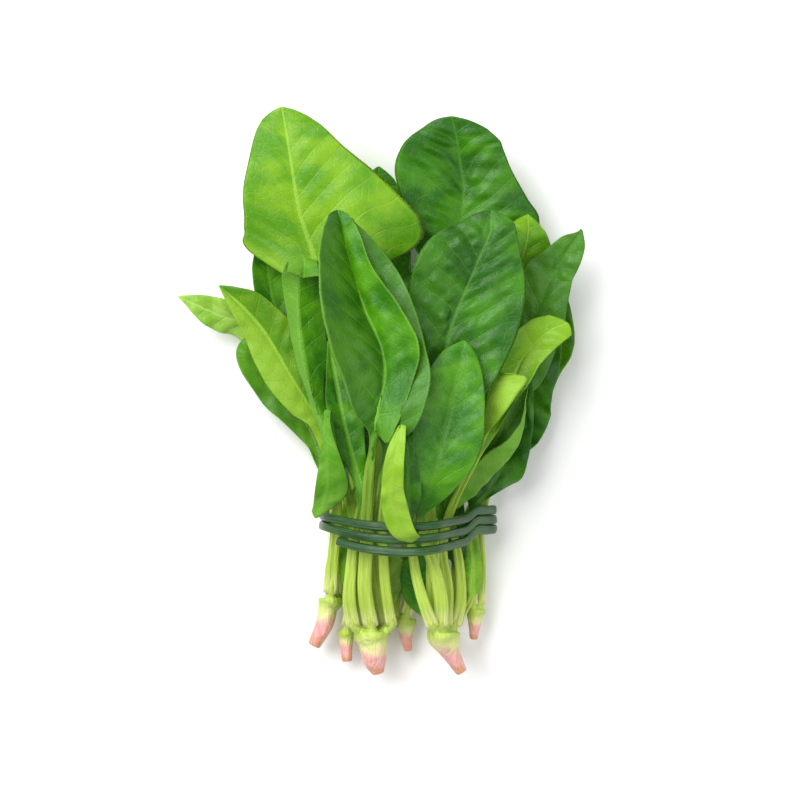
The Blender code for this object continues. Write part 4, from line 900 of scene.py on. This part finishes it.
def leaf_material(spec):
    make = Shader(spec["name"] + "_surface")
    across, _, stem_mm, place = make.attribute("place")
    vein, rib, edge, _ = make.attribute("pattern")
    upper, _, along, _ = make.attribute("side")
    seed = float(random.uniform(0, 500))

    side_vein = make.times(make.maths("PINGPONG", vein, 0.5), VEIN_SPACING)
    vein_width = make.step(edge, 0.0, 1.0, 0.75, 0.25)
    vein_line = make.step(make.maths("DIVIDE", side_vein, vein_width), 0.25, 1.3, 1.0, 0.0)
    in_blade = make.step(along, 0.0, 0.1)
    vein_line = make.times(vein_line, in_blade)
    rib_line = make.step(rib, 0.35, 1.0, 1.0, 0.0)

    warp = make.node("TexNoise", {"Vector": place, "Scale": 0.16, "Detail": 2.0}, output=1)
    warped = make.node("VectorMath", {0: warp, 1: (5, 5, 0), 2: place}, operation="MULTIPLY_ADD")
    flat = make.node("VectorMath", {0: warped, 1: (1, 1, 0)}, operation="MULTIPLY")
    net = make.node("TexVoronoi", {"Vector": flat, "Scale": 0.24}, feature="DISTANCE_TO_EDGE")
    net_line = make.times(make.step(net, 0.0, 0.09, 1.0, 0.0), in_blade)
    fine_net = make.node("TexVoronoi", {"Vector": flat, "Scale": 0.62}, feature="DISTANCE_TO_EDGE")
    fine_line = make.times(make.step(fine_net, 0.0, 0.16, 1.0, 0.0), in_blade)

    deep, light, under, vein_colour = TONES[spec["tone"]]
    patches = make.step(make.noise(place, 0.045, 4.0, seed), 0.38, 0.64)
    tissue = make.mix(patches, deep, light)
    speckle = make.step(make.noise(place, 0.5, 3.0, seed), 0.35, 0.75, 0.0, 0.22)
    tissue = make.mix(speckle, tissue, light)
    below = make.mix(make.step(make.noise(place, 0.06, 3.0, seed), 0.35, 0.7), under, light)
    tissue = make.mix(upper, below, tissue)
    shadow = (*[0.4 * c for c in deep[:3]], 1.0)
    # Painted shade and light on each half: below 0 the half is darkened towards shadow, a painted shadow;
    # above 0 it is paled towards the underside's colour, partly painted light on a lit slope and partly
    # underside that shows.
    for half, amount in zip((-1.0, 1.0), spec["half_shading_and_pallor"]):
        shaded_or_paled_half = make.step(make.times(across, half), 0.0, 1.2, 0.0, abs(amount))
        tissue = make.mix(shaded_or_paled_half, tissue, under if amount > 0 else shadow)
    rib_strength = spec["rib"] * RIB_STRENGTH[spec["tone"]]
    pale_veins, pale_net = make.times(vein_line, 0.14), make.times(net_line, 0.05)
    lines = make.maths("MAXIMUM", pale_veins, pale_net)
    lines = make.maths("MAXIMUM", lines, make.times(rib_line, rib_strength))
    blade = make.mix(lines, tissue, vein_colour)
    rim = make.step(edge, 0.96 - 0.08 * spec["rim"], 1.0, 0.0, spec["rim"])
    blade = make.mix(make.times(rim, in_blade), blade, vein_colour)

    stem = make.mix(make.step(stem_mm, 0.0, 14.0), STEM_WHITE, STEM_GREEN)
    streaks = make.node("VectorMath", {0: place, 1: (2.2, 0.06, 0)}, operation="MULTIPLY")
    streak = make.step(make.node("TexNoise", {"Vector": streaks, "Scale": 1.0, "Detail": 3.0}), 0.4, 0.7)
    stem = make.mix(make.times(streak, 0.35), stem, vein_colour)
    shade = make.step(stem_mm, 30.0, 70.0, 0.0, 0.55)
    stem = make.mix(shade, stem, light)
    whole = make.mix(make.step(along, -0.02, 0.1), stem, blade)

    sign = make.step(upper, 0.0, 1.0, 0.8, -1.0)
    sunk_veins, sunk_net = make.times(vein_line, 0.32), make.times(net_line, 0.18)
    relief = make.plus(sunk_veins, sunk_net)
    relief = make.plus(relief, make.times(fine_line, 0.08))
    relief = make.times(relief, sign)
    grain = make.times(make.noise(place, 1.4, 2.0, seed), 0.12)
    stem_grain = make.times(streak, make.step(along, 0.0, 0.06, 0.5, 0.0))
    height = make.plus(make.plus(relief, grain), stem_grain)
    rough = make.step(make.noise(place, 0.2, 3.0, seed), 0.3, 0.7, 0.36, 0.46)
    rough = make.plus(rough, make.step(upper, 0.0, 1.0, 0.12, 0.0))
    make.surface.inputs["Specular IOR Level"].default_value = 0.28
    return make.finish(whole, rough, height, 0.0004)


def main_leaves():
    placed, band = pile_up()
    spec, grid, half = placed["top_left_leaf"]
    own_low = np.min([face.reshape(-1, 3).min(axis=0) for face in faces_of(grid, half)], axis=0)
    shift = origin_low - own_low
    for spec, grid, _ in placed.values():
        make_leaf(spec, grid, shift)
    return placed, band, shift


def swept_tube(points, radii, stretch=1.0, sides=20):
    """Rings of points round a line that runs roughly along Y."""
    angles = np.linspace(0, 2 * math.pi, sides, endpoint=False)
    along = unit(np.gradient(points, axis=0))
    side = unit(np.cross(along, [0, 0, 1.0]))
    up = np.cross(side, along)
    circle = side[:, None] * np.cos(angles)[None, :, None] + up[:, None] * np.sin(angles)[None, :, None]
    rings = points[:, None] + circle * np.asarray(radii)[:, None, None]
    rings[..., 2] = points[:, None, 2] + (rings[..., 2] - points[:, None, 2]) * stretch
    return rings


def closed_rings(rings, first):
    """Vertices and faces of a tube of rings with both ends closed, numbered from first."""
    count, sides = rings.shape[:2]
    faces = []
    for k in range(count - 1):
        for j in range(sides):
            a, b = first + k * sides + j, first + k * sides + (j + 1) % sides
            faces.append((a, b, b + sides, a + sides))
    faces.append(tuple(first + j for j in range(sides))[::-1])
    faces.append(tuple(first + (count - 1) * sides + j for j in range(sides)))
    return rings.reshape(-1, 3), faces


def make_crown(plant, placed, shift):
    """Crown, root and the feet of the petioles, melted together."""
    line, radii, stretch = crown_line(plant, placed)
    steps = np.linspace(1.1, len(line) - 1, 30)
    body = swept_tube(curve_at(line, steps), curve_at(np.array(radii)[:, None], steps)[:, 0], stretch)
    vertices, faces = closed_rings(body, 0)
    vertices = [vertices]
    centre = line[2]
    for spec, grid, _ in placed.values():
        if spec["plant"] != plant:
            continue
        stem = grid[:3, MIDDLE]
        inside = stem[0] + (centre - stem[0]) * 0.9
        path = curve_at(np.array([inside, stem[0], stem[0] * 0.5 + stem[1] * 0.5]), np.linspace(0, 2, 12))
        foot = swept_tube(path, np.linspace(3.1, 1.1, 12) * spec["width"] / PETIOLE_WIDTH, 1.0, 14)
        more, more_faces = closed_rings(foot, sum(len(part) for part in vertices))
        vertices.append(more)
        faces += more_faces
    name = plant + "_crown"
    mesh = bpy.data.meshes.new(name)
    mesh.from_pydata((np.concatenate(vertices) + shift) * MM, [], faces)
    rough = put_in_scene(name + "_cage", mesh)
    remesh = rough.modifiers.new("melt", "REMESH")
    remesh.mode, remesh.voxel_size = "VOXEL", MELT_CELL * MM
    smooth = rough.modifiers.new("smooth", "SMOOTH")
    smooth.iterations, smooth.factor = 12, 0.6
    melted = bpy.data.meshes.new_from_object(rough.evaluated_get(bpy.context.evaluated_depsgraph_get()))
    bpy.data.objects.remove(rough)
    made = put_in_scene("fine_" + name, melted)
    points = np.empty(len(melted.vertices) * 3, np.float32)
    melted.vertices.foreach_get("co", points)
    points = points.reshape(-1, 3) / MM - shift
    top, neck, end = line[0, 1], line[-2, 1], line[-1, 1]
    root = np.interp(-points[:, 1], [-top - 6, -top + 3, -neck, -end], [0, 0.15, 0.72, 1.0])
    values = np.stack([root, points[:, 0] - centre[0], points[:, 2] - centre[2]], axis=1)
    write_attribute(melted, "growth", values)
    melted.materials.clear()
    melted.materials.append(crown_material(name))
    melted.shade_smooth()
    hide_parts(name)
    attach(made, "root")


def crown_material(name):
    make = Shader(name + "_surface")
    root, _, _, _ = make.attribute("growth")
    spot = make.node("TexCoord", output=3)
    mottle = make.step(make.node("TexNoise", {"Vector": spot, "Scale": 260.0, "Detail": 4.0}), 0.35, 0.7)
    streaks = make.node("VectorMath", {0: spot, 1: (900, 90, 900)}, operation="MULTIPLY")
    streak = make.step(make.node("TexNoise", {"Vector": streaks, "Scale": 1.0, "Detail": 3.0}), 0.38, 0.68)
    wobble = make.plus(root, make.times(make.maths("SUBTRACT", mottle, 0.5), 0.12))
    skin = make.mix(make.step(wobble, 0.1, 0.5), STEM_GREEN, STEM_WHITE)
    skin = make.mix(make.step(wobble, 0.4, 0.72), skin, CROWN_PINK)
    skin = make.mix(make.step(wobble, 0.82, 1.0), skin, ROOT_TAN)
    red = make.times(streak, make.step(wobble, 0.4, 0.8, 0.0, 0.4))
    skin = make.mix(red, skin, colour(208, 104, 92))
    green = make.times(streak, make.step(wobble, 0.1, 0.5, 0.5, 0.0))
    skin = make.mix(green, skin, colour(186, 206, 96))
    height = make.plus(make.times(streak, 0.7), make.times(mottle, 0.4))
    return make.finish(skin, make.step(mottle, 0.0, 1.0, 0.45, 0.6), height, 0.0005)


def make_band(line, shift):
    """The band: a flat glossy strand, wound round the petioles."""
    steps = np.linspace(0, len(line) - 1, 7 * len(line))
    path = curve_at(line, steps)
    along = unit(np.gradient(path, axis=0))
    wide = unit(np.array([0, 1.0, 0]) - along * along[:, 1:2])
    out = np.cross(along, wide)
    twist = 0.22 * np.sin(steps * 0.31)[:, None]
    wide, out = wide * np.cos(twist) + out * np.sin(twist), out * np.cos(twist) - wide * np.sin(twist)
    angles = np.linspace(0, 2 * math.pi, 22, endpoint=False)
    across = np.abs(np.cos(angles)) ** 0.75 * np.sign(np.cos(angles))
    upward = np.abs(np.sin(angles)) ** 0.8 * np.sign(np.sin(angles))
    half_width = BAND_HALF_WIDTH + 0.12 * np.sin(steps * 0.9)[:, None, None]
    rings = path[:, None] + wide[:, None] * across[None, :, None] * half_width
    rings = rings + out[:, None] * upward[None, :, None] * BAND_HALF_THICKNESS
    vertices, faces = closed_rings(rings, 0)
    mesh = bpy.data.meshes.new("fine_tie")
    mesh.from_pydata((vertices + shift) * MM, [], faces)
    run = np.concatenate([[0], np.cumsum(np.linalg.norm(np.diff(path, axis=0), axis=1))])
    values = np.stack(np.broadcast_arrays(across[None, :] * 2.5, run[:, None], upward[None, :]), axis=-1)
    write_attribute(mesh, "strand", values)
    mesh.shade_smooth()
    made = put_in_scene("fine_tie", mesh)
    make = Shader("band_surface")
    _, _, _, strand = make.attribute("strand")
    long_way = make.node("VectorMath", {0: strand, 1: (1.6, 0.05, 1.0)}, operation="MULTIPLY")
    fibre = make.step(make.node("TexNoise", {"Vector": long_way, "Scale": 1.0, "Detail": 4.0}), 0.35, 0.7)
    shade = make.mix(fibre, colour(14, 54, 14), colour(46, 96, 36))
    mesh.materials.append(make.finish(shade, make.step(fibre, 0.0, 1.0, 0.34, 0.46), fibre, 0.00015))
    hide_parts("tie")
    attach(made, "root")


def area_light(name, place, size, energy):
    lamp = bpy.data.lights.new(name, "AREA")
    lamp.size = size
    lamp.energy = energy
    made = put_in_scene(name, lamp)
    made.location = place
    made.rotation_euler = (Vector((0, 0, 0.04)) - Vector(place)).to_track_quat("-Z", "Y").to_euler()


def make_stage():
    bpy.ops.mesh.primitive_plane_add(size=6, location=(0, 0, -FLOOR_DROP))
    floor = bpy.context.object
    floor.name = "floor"
    make = Shader("floor_surface")
    make.surface.inputs["Base Color"].default_value = (0.93, 0.93, 0.93, 1)
    make.surface.inputs["Roughness"].default_value = 0.6
    floor.data.materials.append(make.material)
    scene = bpy.context.scene
    scene.view_settings.view_transform = "Standard"
    world = bpy.data.worlds.new("studio")
    scene.world = world
    world.use_nodes = True
    world.node_tree.nodes["Background"].inputs["Color"].default_value = (1, 1, 1, 1)
    world.node_tree.nodes["Background"].inputs["Strength"].default_value = 0.5
    area_light("key", (-0.55, 0.5, 1.2), 1.0, 24)
    area_light("fill", (0.9, -0.3, 1.0), 1.0, 6)


def make_camera(shift):
    lens = bpy.data.cameras.new("camera")
    lens.sensor_width = SENSOR_WIDTH
    lens.lens = SENSOR_WIDTH * CAMERA_DISTANCE / VIEW_WIDTH
    lens.clip_end = 20
    camera = put_in_scene("camera", lens)
    x, y = ((VIEW_CENTRE[k] + shift[k]) * MM for k in range(2))
    camera.location = (x, y, BUNCH_MIDDLE + CAMERA_DISTANCE)
    bpy.context.scene.camera = camera


placed, band, shift = main_leaves()
for plant in PLANTS:
    make_crown(plant, placed, shift)
make_band(band, shift)
make_stage()
make_camera(shift)
